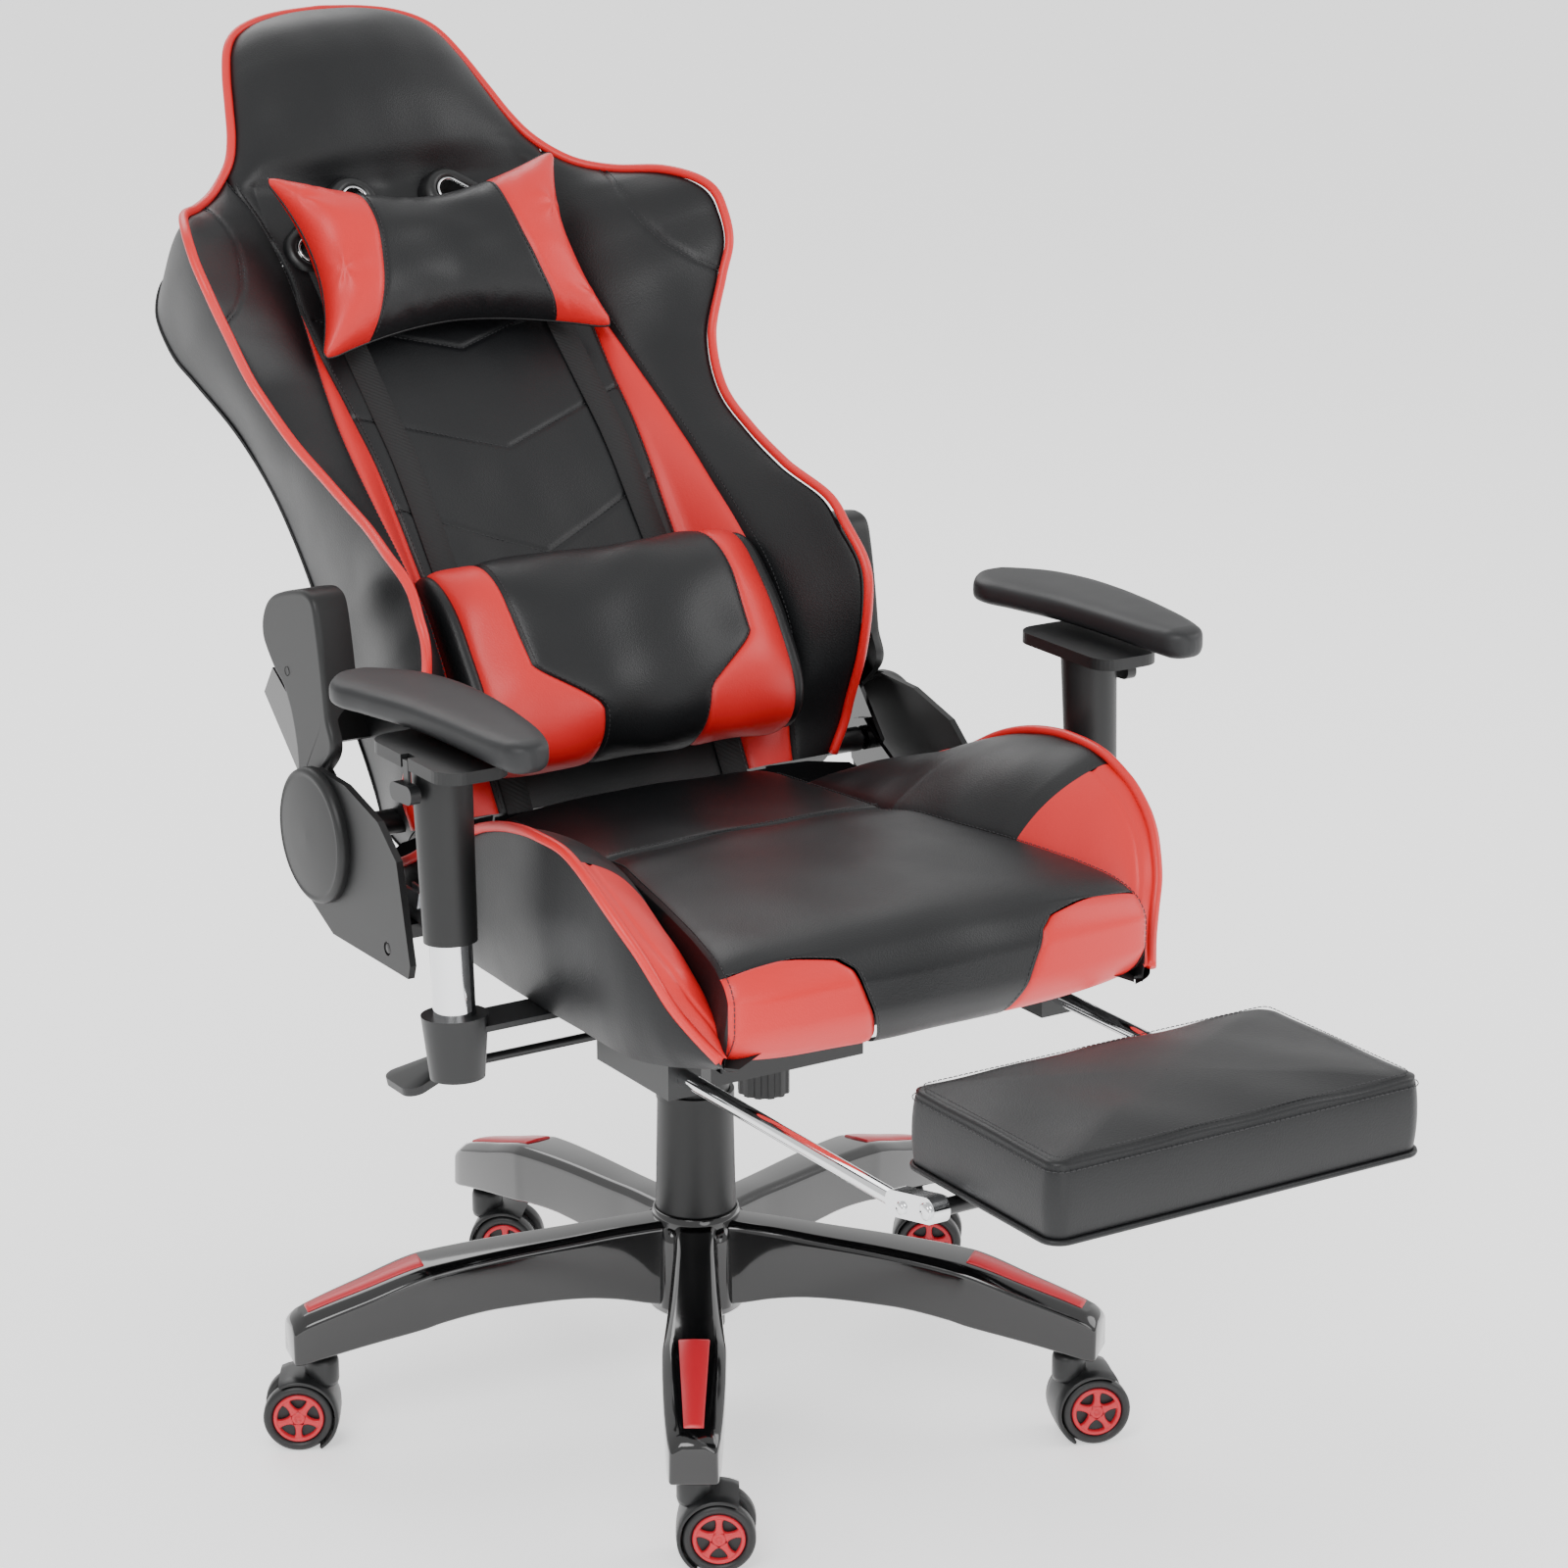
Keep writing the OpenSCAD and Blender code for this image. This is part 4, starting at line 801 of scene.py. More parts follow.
def seat_bolsters(cord):
    """Side bolsters of the seat: black behind, red in front, arched between the middle panel and the piping,
    with a black side wall below piping of the given radius."""
    k = np.arange(len(SEAT_RAIL))
    table = np.column_stack([k, SEAT_RAIL])
    split = 10.35  # row of the rail where the red begins
    for side, word in SIDES:
        rail = np.linspace(0, len(k) - 1, 300)
        y, x, z = seg(table, rail, 1), seg(table, rail, 2), seg(table, rail, 3)
        red_cut = rail >= split
        for piece, mask, mat in (("rear", rail <= split + 0.06, "black_hide"), ("front", red_cut, "red_hide")):
            ry, rx, rz = (v[mask][:, None] for v in (y, x, z))
            t = np.linspace(0, 1, 40)[None]
            ix = seat_edge(ry) + 1.5
            iy = ry + 20 * np.exp(-((ry + 245) / 60) ** 2)
            iy = np.maximum(iy, -376)
            top = np.interp(-ry, -SEAT_PROFILE[:11, 0], SEAT_PROFILE[:11, 1])
            dip = np.interp(-ry, [-110, 150, 230, 300, 350, 380], [4, 4, 8, 26, 44, 60])
            iz = np.minimum(top - dip, rz + 4)
            # arch: straight chord plus a bulge square to it
            dx, dz = rx - ix, rz - iz
            l = np.hypot(dx, dz) + 1e-6
            bulge = np.minimum(12, 0.22 * l) * np.sin(np.pi * t) ** 0.85 * (1 - 0.9 * ease(10, 80, ry))
            px = ix + dx * t - dz / l * bulge * 0.8
            pz = iz + dz * t + dx / l * bulge
            py = iy + (ry - iy) * t
            d = np.minimum(t * l, (1 - t) * l)
            groove = 2.4 * np.exp(-d / 2.6)
            if piece == "front":
                groove = groove + 1.8 * np.exp(-(((1 - t) * l - 15) / 2.0) ** 2)
            p = np.stack([side * px, py, pz - groove], -1)
            p[..., 2] = np.maximum(p[..., 2], 454)
            p = p + (0.8 * ripple(p, 60, 33))[..., None] * np.array([0, 0, 1.0])
            o = padded(sheet(f"seat_bolster_{word}_{piece}", p, mat, "seat", flip=side > 0))
            if piece == "front":
                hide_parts(f"seat_bolster_{word}")
        # side wall
        t = np.linspace(0, 1, 26)[None]
        low = np.interp(-y, [-108, -60, 60, 300, 376], [470, 462, 455, 452, 455])[:, None]
        yy, xx, zz = y[:, None], x[:, None], z[:, None]
        wx = xx - 1 + 4.5 * np.sin(np.pi * t) ** 0.8 * ease(0, 60, zz - low) - 14 * t ** 3
        wz = zz - 2 + (low - zz) * t
        p = np.stack([side * wx, yy + 0 * t, wz], -1)
        p = p + (0.9 * ripple(p, 120, 41))[..., None] * np.array([1.0, 0, 0])
        o = padded(sheet(f"seat_side_{word}", p, "black_hide", "seat", flip=side > 0))
        path = np.stack([side * (x + 1), y, z + 1], -1)
        mesh(f"seat_piping_{word}", *tube(spaced(path, 4), cord, 10), "red_cord", "seat")
        # hem that turns under, and the closed rear end
        hem = np.stack([side * (x - 16), y, low[:, 0]], -1)
        inner = hem * np.array([0.86, 1, 1]) + np.array([0, 0, 12])
        sheet(f"seat_hem_{word}", np.stack([hem, inner]), "lining", "seat", flip=side < 0)
        end_y = y[0]
        tt = np.linspace(0, 1, 20)[None]
        gx = np.array([137.0, 180, 225, 246])[:, None]
        gz0 = np.array([524.0, 522, 514, 500])[:, None]
        gz1 = np.array([466.0, 466, 460, 470])[:, None]
        p = np.stack([side * (gx + 0 * tt), end_y - 3 + 5 * np.sin(np.pi * tt) + 0 * gx,
                      gz0 + (gz1 - gz0) * tt], -1)
        sheet(f"seat_rear_end_{word}", p, "black_hide", "seat", flip=side > 0)
    t = np.linspace(0, 1, 14)[:, None]
    gx = np.linspace(-137, 137, 30)[None]
    p = np.stack([gx + 0 * t, 100 + 5 * np.sin(np.pi * t) + 0 * gx, 523 - 58 * t + 0 * gx], -1)
    sheet("seat_rear_end_middle", p, "black_hide", "seat")


# ------------------------------------------------------------------ armrests and footrest

PAD_PLAN = np.array([(0, 3, 21), (0.006, 8, 21.4), (0.03, 16, 22), (0.085, 22, 23.5), (0.18, 27, 26),
                     (0.33, 31.6, 28.5), (0.44, 34.5, 29.5), (0.58, 38, 29), (0.77, 42.4, 22.5),
                     (0.845, 42.4, 17.5), (0.905, 39.2, 12.5), (0.963, 28, 7), (0.992, 15, 4.6),
                      (1, 6, 4)], float)


def arm_pads():
    """Arm pads: a crescent in plan, broad behind and narrow in front, with round edges all the way and an
    upper face that sags a little. Both are the same moulding, so both bow towards the sitter's left."""
    for side, word in SIDES:
        t = 0.5 - 0.5 * np.cos(np.linspace(0, np.pi, 110))
        w, shift = seg(PAD_PLAN, t, 1), seg(PAD_PLAN, t, 2)
        a = np.arange(48) * TAU / 48
        sx = np.sign(np.cos(a)) * np.abs(np.cos(a)) ** 0.62
        sz = np.sign(np.sin(a)) * np.abs(np.sin(a)) ** 0.62
        h = 13.4 * np.clip(w / 20.0, 0, 1) ** 0.45
        p = np.zeros((len(t), 48, 3))
        p[..., 0] = (-POST_FOOT[0] if side < 0 else POST_FOOT[0] + 4) + shift[:, None] - w[:, None] * sx
        p[..., 1] = (POST_FOOT[1] + PAD_L * (t - 0.363))[:, None]
        p[..., 2] = 684.5 + 3.0 * (1 - (2 * t[:, None] - 1) ** 2) * 0.5 + h[:, None] * sz
        p[..., 2] -= 1.8 * (sz > 0) * (1 - sx ** 2) * np.sin(np.pi * t)[:, None]
        v = p.reshape(-1, 3)
        f = quads(len(t), 48, wrap=True).tolist()
        n = (len(t) - 1) * 48
        f += [list(range(48))[::-1], list(range(n, n + 48))]
        o = padded(mesh(f"arm_pad_{word}_skin", v, f, "foam", f"armrest_{word}"))
        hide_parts(f"arm_pad_{word}")


def footrest():
    """Footrest pad: a boxed cushion with a crowned top, sewn with a double row round its upper edge and a
    rolled hem round its lower edge."""
    centre = np.array([0.0, -665.0, 0.0])
    w, l, z0, z1 = 168.0, 94.0, 438.5, 502.0

    def outline(grow, z, count=160, corner=16.0):
        """Rounded rectangle at height z. A side takes the middle 0.7 of its quarter and its corners' halves
        the rest, so that every outline has its points at the same places."""
        hw, hl, r = w + grow, l + grow, corner + grow
        corners = np.array([(1, -1), (1, 1), (-1, 1), (-1, -1)]) * np.array([hw - r, hl - r])
        t = np.linspace(0, 4, count, endpoint=False)
        side = t.astype(int)
        f = t - side
        straight = np.clip((f - 0.15) / 0.7, 0, 1)[:, None]
        bends = np.clip(f / 0.15, 0, 1) + np.clip((f - 0.85) / 0.15, 0, 1)
        turn = (side - 1) * np.pi / 2 + np.pi / 4 * (bends + 1)
        at = corners[side] * (1 - straight) + corners[(side + 1) % 4] * straight
        return np.column_stack([at + r * np.stack([np.cos(turn), np.sin(turn)], -1), np.full(count, z)])

    rings = []
    for t in np.linspace(0, 1, 18):
        belly = 3.0 * math.sin(math.pi * min(1, t * 1.02)) ** 0.7
        rings.append(outline(belly - 3.5, z0 + 2 + (z1 - z0 - 6) * t))
    top_edge = len(rings)
    for t in np.linspace(0, 1, 46):
        shrink = 1 - t * 0.997
        rings.append(outline(-3.5, z1 - 2 + 9 * (1 - (1 - t) ** 2.2)) * np.array([shrink, shrink, 1]))
    p = np.stack(rings) + centre
    p[..., 2] -= (2.2 * np.exp(-np.abs(np.arange(len(p)) - top_edge + 0.5) / 0.8))[:, None]
    p[..., 2] += 0.9 * ripple(p, 80, 51) * np.clip((p[..., 2] - 470) / 30, 0, 1)
    o = padded(sheet("footrest_pad_leather", p, "black_hide", "footrest_flip", wrap=True))
    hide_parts("footrest_pad")
    under = outline(-4, z0 + 1.5) + centre
    mesh("footrest_pad_under", under, [list(range(len(under)))[::-1]], "lining", "footrest_flip", smooth=False)
    hem = outline(-1.5, z0 + 2.5) + centre
    mesh("footrest_hem", *tube(hem, 2.4, 8, closed=True), "black_hide", "footrest_flip")
    rows = []
    for grow, z in ((-1.6, z1 - 8.5), (-9.0, z1 - 0.2)):
        path = outline(grow, z) + centre
        path = np.concatenate([path, path[:1]])
        if z < z1 - 5:
            d = path - centre - np.array([0, 0, z])
            out = d / np.linalg.norm(d, axis=1)[:, None]
        else:
            out = np.array([0, 0, 0.6])
        rows.append(stitches(path + out * 0.8, np.array([0, 0, 0.3])))
    mesh("footrest_stitching", *merge(rows), "thread", "footrest_flip")
    # bolt heads on the clevises
    for side, word in SIDES:
        for y, z, r, body in ((-598, 418.5, 5.0, "footrest_slide"), (-630, 427, 6.5, "footrest_flip")):
            v, f = lathe([(r, -1.0), (r, 0.9), (r - 1.5, 2.0), (0, 2.2)], 32)
            v = turned(v, (side * 187.0, y, z), (0, 1, 0), (side, 0, 0))
            mesh(f"clevis_bolt_{word}_{-y}", v, f, "chrome", body)


# ------------------------------------------------------------------ base and casters

def arm_turn(k):
    """Matrix that turns rows of points from +X to the base's arm k."""
    a = math.radians(BASE_TURN + 360 / ARMS * k)
    return np.array([[math.cos(a), math.sin(a), 0], [-math.sin(a), math.cos(a), 0], [0, 0, 1]])


def base():
    """Five-arm base: each arm is a boxed beam, its section a flat top with chamfers over deeper sides, that
    arches down from the hub to the caster's stem."""
    st = np.array([
        # r, top, bottom, half-width at top, half-width of the shoulder, half-width at the bottom
        (22, 168, 88, 16, 22, 19), (45, 167, 92, 14, 19, 18), (75, 166, 100, 14, 19, 18),
        (110, 164, 106, 15, 20, 19),
        (180, 160.5, 108, 17, 22.5, 21), (235, 156, 103, 18.5, 25.5, 24), (250, 154, 100, 18.5, 26.5, 25),
        (300, 139, 92, 15.5, 25.5, 24.5), (340, 126.5, 84, 12.5, 23, 22.5), (352, 122.0, 81, 11.5, 21.5, 21.5),
        (359, 118, 80, 10.5, 20, 20.5), (364, 113, 80, 9.5, 18.5, 19.5)], float)
    r = np.unique(np.concatenate([np.linspace(22, 363.5, 90), [250]]))
    top, low, wt, ws, wb = (seg(st, r, k) for k in range(1, 6))
    six, ten = (drop * np.minimum(1, (top - low) / 30) for drop in (6.0, 10.0))
    right = [(wt, top), (ws, top - six), (ws, top - ten), (wb, low)]
    section = [(0 * wt, top)] + right + [(0 * wb, low)] + [(-w, z) for w, z in right[::-1]]
    arm = np.stack([np.stack([r, w, z], -1) for w, z in section], 1)
    count = len(section)
    faces = quads(len(r), count, wrap=True, flip=True).tolist()
    faces.append([(len(r) - 1) * count + j for j in range(count)][::-1])
    parts = [((arm @ arm_turn(k)).reshape(-1, 3), faces) for k in range(ARMS)]
    o = mesh("base_arms", *merge(parts), "gloss", "base")
    soften(o, 2.6, 3, 28)
    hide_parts("base_star")
    # inlays: a shallow arch 4 mm high that narrows outwards and dips at both ends
    q = np.linspace(246, 350, 50)
    z = seg(st[:, :2], q, 1)
    hw = 13.0 - 5.0 * (q - 246) / 104
    rows = []
    for e, lift, ends in ((-1.0, -2.0, 0), (-1.0, 0.6, 0), (-0.93, 1.5, 1.0), (0, 2.0, 1.2), (0.93, 1.5, 1.0),
                          (1.0, 0.6, 0), (1.0, -2.0, 0)):
        g = q + ends * np.where(q < 298, 1, -1) * np.clip(np.abs(q - 298) - 50, 0, 2) / 2
        rows.append(np.stack([g, e * hw, z + lift - 2.6 * (np.abs(q - 298) > 51.5)], -1))
    inlay = np.stack(rows)
    faces = quads(len(rows), len(q)).tolist()
    parts = [((inlay @ arm_turn(k)).reshape(-1, 3), faces) for k in range(ARMS)]
    o = mesh("base_arm_inlays", *merge(parts), "red_plastic", "base")
    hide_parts("base_inlays")
    hub = [(25.3, 80), (36, 80), (41, 84), (41, 150), (40, 160), (38.5, 168), (37.5, 172.5), (36.3, 174),
           (35.3, 172.4), (25.3, 172)]
    mesh("base_hub", *lathe(hub, 96), "gloss", "base")
    # small webs where neighbouring arms meet
    v, f = lathe([(11, 90), (11, 150), (8, 163), (0, 165)], 24)
    v[:, 0] *= 0.8
    webs = [((v + np.array([36.0, 0, 0])) @ arm_turn(k + 0.5), f) for k in range(ARMS)]
    mesh("base_hub_webs", *merge(webs), "gloss", "base")


def wheel_rim():
    """(vertices, faces) of a rim, its axle up: outer ring, hub and five spokes that flare at both ends."""
    pieces = [lathe([(21.7, 4.6), (21.0, 6.3), (19.6, 6.6), (18.2, 6.2), (17.8, 2.0)], 90),
              lathe([(6.6, 2.0), (6.2, 5.4), (4.6, 6.4), (3.0, 6.4), (2.6, 5.6), (0, 5.4)], 48)]
    r = np.linspace(5.6, 18.6, 16)
    half = 2.4 + 2.6 * np.exp(-(r - 5.6) / 2.2) + 3.4 * np.exp(-(18.6 - r) / 1.6)
    section = ((-1.0, 2.0), (-1.0, 5.0), (-0.7, 5.9), (0.0, 6.1), (0.7, 5.9), (1.0, 5.0), (1.0, 2.0))
    for k in range(5):
        b = TAU * k / 5 + 0.3
        rows = [np.stack([r * math.cos(b) - e * half * math.sin(b), r * math.sin(b) + e * half * math.cos(b),
                          np.full(len(r), h)], -1) for e, h in section]
        pieces.append((np.concatenate(rows), quads(len(section), len(r)).tolist()))
    return merge(pieces)


def casters():
    """Twin-wheel casters: rounded treads, red rims with five windows, a hood over the wheels' rear and a
    collar for the stem."""
    tread = lathe([(21.8, -8), (27, -8), (29.3, -6.8), (30, -5), (30, 3.2), (29.2, 5.6), (27, 7.0),
                   (24.8, 7.2), (23.8, 6.2), (22.0, 5.4), (21.8, -8)], 72)
    disc = lathe([(21.9, 2.2), (20, 1.0), (6, 1.0), (0, 1.2)], 48)
    rim = wheel_rim()
    hood_out = [(31.2, -23.5), (32.6, -24.5), (34.2, -22.5), (35.0, -12), (35.2, 0), (35.0, 12), (34.2, 22.5),
                (32.6, 24.5), (31.2, 23.5)]
    hood_in = [(31.2, 23.5), (31.0, 0), (31.2, -23.5)]
    covered = np.radians(np.linspace(62, 236, 60))
    full = np.linspace(0, TAU, 64, endpoint=False)
    for k in range(ARMS):
        yaw = math.radians(CASTER_YAW[k])
        stem = np.array([STEM_R, 0, 0]) @ arm_turn(k)
        fwd = np.array([math.cos(yaw), math.sin(yaw), 0.0])
        lat = np.array([-math.sin(yaw), math.cos(yaw), 0.0])
        axle = stem + fwd * TRAIL + np.array([0, 0, WHEEL_R])

        def arc(angles, r, off):
            """Points round the axle at a radius and a distance to the side."""
            return (axle + np.outer(np.cos(angles) * r, fwd) + np.outer(np.sin(angles) * r, [0, 0, 1.0])
                    + lat * off)

        for part, kind, mat in ((tread, "treads", "tyre"), (disc, "discs", "tyre"),
                                (rim, "rims", "red_plastic")):
            pair = [(turned(part[0], axle + lat * side * 16.5, fwd, lat * side), part[1]) for side in (-1, 1)]
            o = mesh(f"caster_{k + 1}_{kind}", *merge(pair), mat, f"wheels_{k + 1}")
            if kind == "treads":
                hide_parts(f"caster_wheels_{k + 1}")
        # hood over the wheels' stem side, and a web between the wheels
        outer = np.concatenate([arc(covered, r, off) for r, off in hood_out])
        inner = np.concatenate([arc(covered, r, off) for r, off in hood_in])
        web = np.concatenate([arc(full, 25, off) for off in (-7.0, 7.0)])
        web_faces = [[64 + j, 64 + (j + 1) % 64, (j + 1) % 64, j] for j in range(64)]
        web_faces += [list(range(64)), list(range(64, 128))[::-1]]
        collar = lathe([(0, 54), (13.5, 54), (14.5, 58), (14.5, 74), (13, 79.4), (0, 79.6)], 48,
                       about=stem[:2])
        hood = merge([(outer, quads(len(hood_out), 60, flip=True).tolist()),
                      (inner, quads(len(hood_in), 60, flip=True).tolist()), (web, web_faces), collar])
        o = mesh(f"caster_{k + 1}_hood", *hood, "plastic_fine", f"caster_{k + 1}")
        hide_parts(f"caster_fork_{k + 1}")


# ------------------------------------------------------------------ hard pieces

FINISHES = {  # CAD piece: its finish, and the rounding of its edges in millimetres
    "stand_tube": ("coated", 0), "lower_sleeve": ("plastic", 0.8), "piston_rod": ("chrome", 0),
    "thrust_bearing": ("steel", 0), "pressure_tube": ("coated", 0), "middle_sleeve": ("plastic", 0),
    "upper_sleeve": ("plastic", 0.5), "tilt_housing": ("coated", 1.2), "tilt_spring": ("coated", 0),
    "tilt_pivot_bolt": ("steel", 0.5), "tension_knob": ("plastic", 0.8), "lift_lever": ("coated", 0.4),
    "lift_paddle": ("plastic_fine", 0.6), "seat_plate": ("coated", 0.4), "seat_frame": ("coated", 0.5),
    "arm_brackets": ("plastic_fine", 0.9), "arm_tubes": ("chrome", 0), "arm_post_right": ("plastic", 0.9),
    "arm_post_left": ("plastic", 0.9), "arm_button_right": ("plastic_fine", 0.9),
    "arm_button_left": ("plastic_fine", 0.9), "footrest_guides": ("plastic_fine", 1.2),
    "footrest_rails": ("chrome", 0), "footrest_clevises": ("chrome", 0.5), "footrest_board": ("coated", 0.6),
    "seat_hinge_plates": ("gloss", 0.6), "back_hinge_plates": ("gloss", 0.6),
    "hinge_lower_covers": ("plastic", 1.0), "recline_lever": ("steel", 0.5), "sync_rod": ("steel", 0),
    "back_frame": ("coated", 0.5),
}


def hardware(nodes):
    """Finishes of the CAD pieces that keep their shape, domed caps over the hinges, screw heads on the
    covers, and a strip of seven ribs let into each armrest tube."""
    for name, (mat, bevel) in FINISHES.items():
        paint(nodes, name, mat, bevel)
    lean = np.array([[1, 0, 0], [0, math.cos(POST_LEAN), -math.sin(POST_LEAN)],
                     [0, math.sin(POST_LEAN), math.cos(POST_LEAN)]])
    for side, word in SIDES:
        v, f = lathe([(58, 0), (58.4, 6), (57.2, 9.5), (54, 11.4), (52.6, 10.6), (50, 11.0), (30, 13.0),
                      (0, 13.8)], 96)
        v = turned(v, (side * (COVER_X + 0.2), HINGE[0], HINGE[1]), (0, 1, 0), (side, 0, 0))
        o = mesh(f"hinge_cap_{word}", v, f, "plastic", "seat")
        if side < 0:
            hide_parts("hinge_caps")
        for y, z in ((88, 522), (14, 457)):
            v, f = lathe([(5.2, 0), (5.2, 0.8), (3.6, 1.6), (0, 1.9)], 28)
            v = turned(v, (side * (COVER_X + 0.1), y, z), (0, 1, 0), (side, 0, 0))
            mesh(f"cover_screw_{word}_{y}", v, f, "coated", "seat")
        ribs = []
        for k in range(7):
            a = math.radians(-62 + 6.5 * k) if side < 0 else math.radians(242 - 6.5 * k)
            x, y = 16.1 * math.cos(a), 16.1 * math.sin(a)
            line = np.array([(x, y, 10.0), (x, y, 40.0), (x, y, 70.0)])
            ribs.append(tube(line @ lean + np.array(POST_FOOT) * np.array([side, 1, 1]), 0.98, 8))
        mesh(f"arm_tube_strip_{word}", *merge(ribs), "plastic", "seat")


UPPER_COVER = np.array([(-30, 66), (-46, 97), (-65, 133), (-80, 165), (-86, 184), (-80, 196), (-66, 205),
                        (-33, 218), (-10, 223), (6, 220), (19, 211), (25, 196), (22, 170), (15, 149), (18, 123),
                        (31, 92),
                        (56, 62)], float)


def smooth_loop(points, step=3.0):
    """A closed outline rounded by a spline through its points, in even steps."""
    p = np.asarray(points, float)
    q = np.concatenate([p[-3:], p, p[:3]])
    k = np.arange(len(q)) - 3
    t = np.linspace(0, len(p), 1200, endpoint=False)
    xy = np.stack([seg(np.column_stack([k, q[:, i]]), t, 1) for i in (0, 1)], -1)
    d = np.concatenate([[0], np.cumsum(np.linalg.norm(np.diff(np.vstack([xy, xy[:1]]), axis=0), axis=1))])
    n = int(d[-1] / step)
    u = np.linspace(0, d[-1], n, endpoint=False)
    xy = np.vstack([xy, xy[:1]])
    return np.stack([np.interp(u, d, xy[:, 0]), np.interp(u, d, xy[:, 1])], -1)


def shrink(loop, by):
    """An outline moved inwards by a distance along its normals; the loop may run either way."""
    t = np.roll(loop, -1, 0) - np.roll(loop, 1, 0)
    t /= np.linalg.norm(t, axis=1)[:, None]
    n = np.stack([-t[:, 1], t[:, 0]], -1)
    area = np.sum(loop[:, 0] * np.roll(loop[:, 1], -1) - loop[:, 1] * np.roll(loop[:, 0], -1))
    return loop + n * by * np.sign(area)


def upper_covers():
    """Covers over the back's hinge plates: a shell 10 mm thick with rounded edges, deepening to 32 mm over
    the side of the back above the hinge, with a small hole."""
    loop = smooth_loop(UPPER_COVER)
    for side, word in SIDES:
        rows = []
        deep = 267 - 21 * ease(92, 112, loop[:, 1])
        for inset, x in ((0.0, None), (0.0, 272.0), (0.3, 274.4), (1.2, 276.0), (2.8, 277.0), (4.6, 277.2)):
            q = shrink(loop, inset)
            xs = deep if x is None else np.full(len(q), x)
            rows.append(back_point(side * xs, -q[:, 0], q[:, 1]))
        g = np.stack(rows)
        f = quads(len(rows), len(loop), wrap=True, flip=side > 0).tolist()
        n = (len(rows) - 1) * len(loop)
        face = list(range(n, n + len(loop)))
        f.append(face if side < 0 else face[::-1])
        o = mesh(f"hinge_upper_cover_{word}", g.reshape(-1, 3), f, "plastic", "back")
        o.data.polygons[-1].use_smooth = False
        if side < 0:
            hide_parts("hinge_upper_covers")
        v, f = lathe([(4.2, 0.25), (3.6, -0.1), (3.4, -3.0), (0, -3.0)], 28)
        centre = back_point(side * 277.3, 2.0, 158.0)
        v = turned(v, centre, (0, 1, 0), (side, 0, 0))
        mesh(f"cover_hole_{word}", v, f, "lining", "back")


# ------------------------------------------------------------------ stage

def stage():
    """Pale floor, soft studio light and a camera in front of the sitter's right."""
    world = bpy.data.worlds.new("Studio")
    world.use_nodes = True
    world.node_tree.nodes["Background"].inputs["Color"].default_value = (1, 1, 1, 1)
    world.node_tree.nodes["Background"].inputs["Strength"].default_value = 1.0
    bpy.context.scene.world = world
    floor = bpy.data.meshes.new("floor")
    floor.from_pydata([(-30, -30, 0), (30, -30, 0), (30, 30, 0), (-30, 30, 0)], [], [(0, 1, 2, 3)])
    pale = surface("Pale studio floor", "FFFFFF", 0.95, spec=0.1)
    pale.node_tree.nodes["Principled BSDF"].inputs["Emission Color"].default_value = (1, 1, 1, 1)
    pale.node_tree.nodes["Principled BSDF"].inputs["Emission Strength"].default_value = 0.7
    floor.materials.append(pale)
    o = bpy.data.objects.new("floor", floor)
    bpy.context.scene.collection.objects.link(o)
    for name, place, size, power in (("key", (-2.6, -2.2, 3.4), 2.2, 85), ("fill", (3.2, -1.6, 2.4), 2.4, 45),
                                     ("rim", (0.4, 3.0, 3.0), 2.4, 40), ("front", (-0.6, -4.2, 1.4), 2.0, 26)):
        lamp = bpy.data.lights.new(name, "AREA")
        lamp.shape = "DISK"
        lamp.size = size
        lamp.energy = power
        light = bpy.data.objects.new(name, lamp)
        light.location = place
        light.rotation_euler = (Vector((0, 0, 0.6)) - Vector(place)).to_track_quat("-Z", "Y").to_euler()
        bpy.context.scene.collection.objects.link(light)
    cam = bpy.data.cameras.new("camera")
    cam.lens = 100.3
    cam.sensor_width = 36
    view = bpy.data.objects.new("camera", cam)
    view.location = (-1.8252, -3.0346, 1.6263)
    view.rotation_euler = Vector((0.51105, 0.80937, -0.28940)).to_track_quat("-Z", "Y").to_euler()
    bpy.context.scene.collection.objects.link(view)
    bpy.context.scene.camera = view


# ------------------------------------------------------------------ add-on

class ChairSettings(bpy.types.PropertyGroup):
    """Colours and sizes that a user would change."""

    black: bpy.props.FloatVectorProperty(
        name="Black leather", description="Colour of the black leather", subtype="COLOR_GAMMA", size=3,
        min=0, max=1, default=parts_of("101113"))
    red: bpy.props.FloatVectorProperty(
        name="Red leather", description="Colour of the red leather", subtype="COLOR_GAMMA", size=3,
        min=0, max=1, default=parts_of("D81E20"))
    cord: bpy.props.FloatVectorProperty(
        name="Piping", description="Colour of the piping", subtype="COLOR_GAMMA", size=3,
        min=0, max=1, default=parts_of("DA2022"))
    back_cord: bpy.props.FloatProperty(
        name="Back piping", description="Radius of the back's piping, in millimetres",
        min=2, max=6, default=4.3)
    seat_cord: bpy.props.FloatProperty(
        name="Seat piping", description="Radius of the seat's piping, in millimetres",
        min=2, max=6, default=4.2)


def need_finishes():
    """Raises an error when the finishes haven't been made yet."""
    if not M:
        raise RuntimeError("Make the finishes first")


class CHAIR_OT_finishes(bpy.types.Operator):
    """Make the chair's finishes in the chosen colours"""

    bl_idname = "chair.finishes"
    bl_label = "Finishes"

    def execute(self, context):
        chair = context.scene.chair
        M.update(materials(chair.black, chair.red, chair.cord))
        return {"FINISHED"}


class CHAIR_OT_back(bpy.types.Operator):
    """Build the back's panels, shell, piping, belt slots and straps"""

    bl_idname = "chair.back"
    bl_label = "Back"

    def execute(self, context):
        need_finishes()
        back_front()
        back_shell(context.scene.chair.back_cord)
        belt_slots()
        straps()
        return {"FINISHED"}


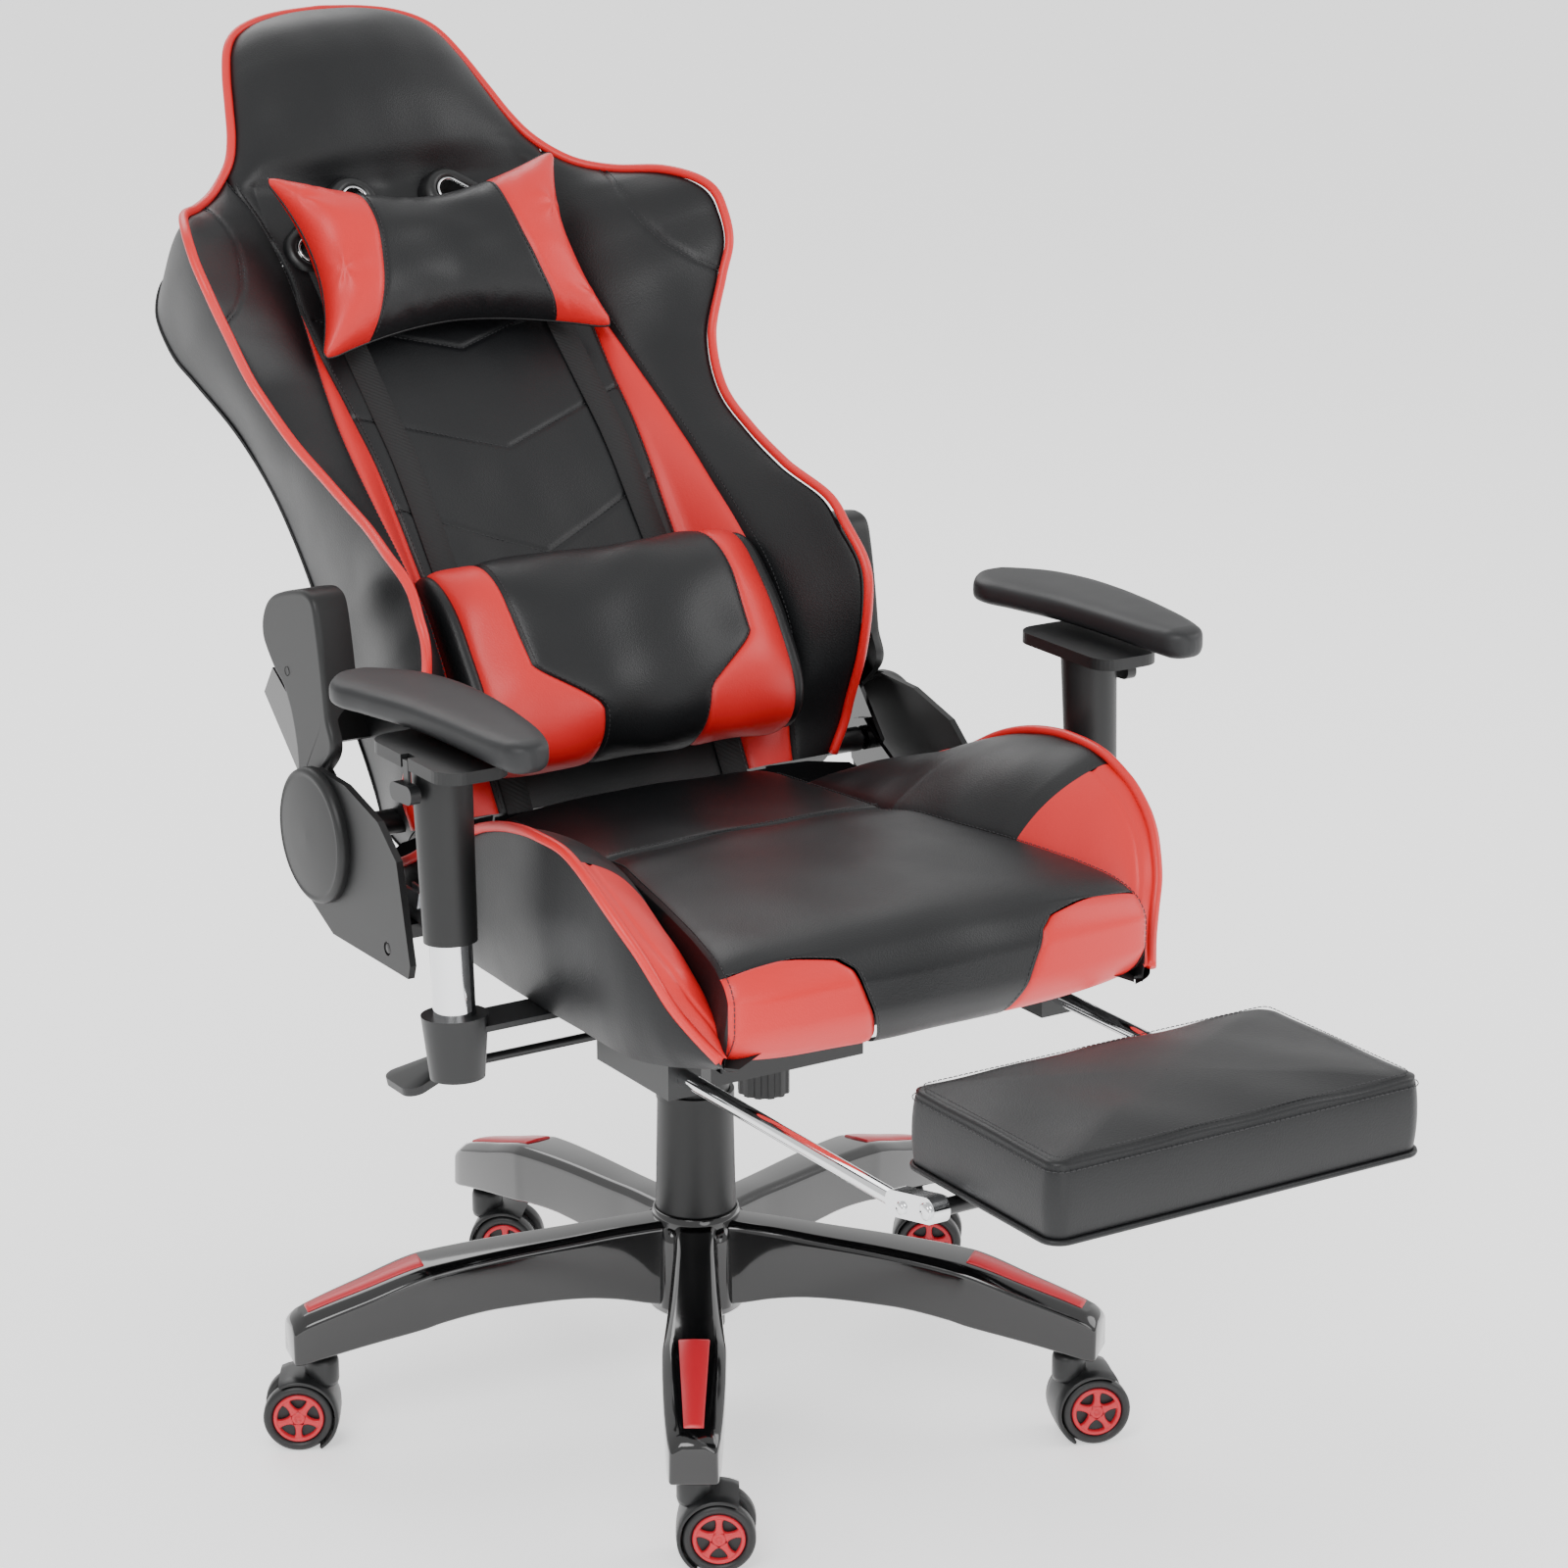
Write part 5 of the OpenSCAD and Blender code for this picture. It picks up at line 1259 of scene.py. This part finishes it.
class CHAIR_OT_pillows(bpy.types.Operator):
    """Build the head and lumbar pillows"""

    bl_idname = "chair.pillows"
    bl_label = "Pillows"

    def execute(self, context):
        need_finishes()
        head_pillow()
        lumbar_pillow()
        return {"FINISHED"}


class CHAIR_OT_seat(bpy.types.Operator):
    """Build the seat's middle, bolsters and piping"""

    bl_idname = "chair.seat"
    bl_label = "Seat"

    def execute(self, context):
        need_finishes()
        seat_middle()
        seat_bolsters(context.scene.chair.seat_cord)
        return {"FINISHED"}


class CHAIR_OT_arms(bpy.types.Operator):
    """Build the arm pads"""

    bl_idname = "chair.arms"
    bl_label = "Arm pads"

    def execute(self, context):
        need_finishes()
        arm_pads()
        return {"FINISHED"}


class CHAIR_OT_footrest(bpy.types.Operator):
    """Build the footrest's pad, hem, stitching and bolts"""

    bl_idname = "chair.footrest"
    bl_label = "Footrest"

    def execute(self, context):
        need_finishes()
        footrest()
        return {"FINISHED"}


class CHAIR_OT_base(bpy.types.Operator):
    """Build the five-arm base and the casters"""

    bl_idname = "chair.base"
    bl_label = "Base"

    def execute(self, context):
        need_finishes()
        base()
        casters()
        return {"FINISHED"}


class CHAIR_OT_hardware(bpy.types.Operator):
    """Finish the pieces that keep their CAD shape, and cover the hinges"""

    bl_idname = "chair.hardware"
    bl_label = "Hardware"

    def execute(self, context):
        need_finishes()
        hardware(frame["nodes"])
        upper_covers()
        return {"FINISHED"}


class CHAIR_OT_stage(bpy.types.Operator):
    """Add the floor, lights and camera"""

    bl_idname = "chair.stage"
    bl_label = "Stage"

    def execute(self, context):
        stage()
        return {"FINISHED"}


OPERATORS = (CHAIR_OT_finishes, CHAIR_OT_back, CHAIR_OT_pillows, CHAIR_OT_seat, CHAIR_OT_arms,
             CHAIR_OT_footrest, CHAIR_OT_base, CHAIR_OT_hardware, CHAIR_OT_stage)


class CHAIR_PT_panel(bpy.types.Panel):
    """Settings and buttons that build the chair"""

    bl_label = "Gaming chair"
    bl_space_type = "VIEW_3D"
    bl_region_type = "UI"
    bl_category = "Chair"

    def draw(self, context):
        for name in ("black", "red", "cord", "back_cord", "seat_cord"):
            self.layout.prop(context.scene.chair, name)
        for c in OPERATORS:
            self.layout.operator(c.bl_idname)


CLASSES = (ChairSettings, *OPERATORS, CHAIR_PT_panel)


def register():
    for c in CLASSES:
        bpy.utils.register_class(c)
    bpy.types.Scene.chair = bpy.props.PointerProperty(type=ChairSettings)


def unregister():
    del bpy.types.Scene.chair
    for c in reversed(CLASSES):
        bpy.utils.unregister_class(c)


def main():
    """Registers the add-on and builds the chair piece by piece."""
    register()
    bpy.ops.chair.finishes()
    bpy.ops.chair.back()
    bpy.ops.chair.pillows()
    bpy.ops.chair.seat()
    bpy.ops.chair.arms()
    bpy.ops.chair.footrest()
    bpy.ops.chair.base()
    bpy.ops.chair.hardware()
    bpy.ops.chair.stage()


if __name__ == "__main__":
    main()
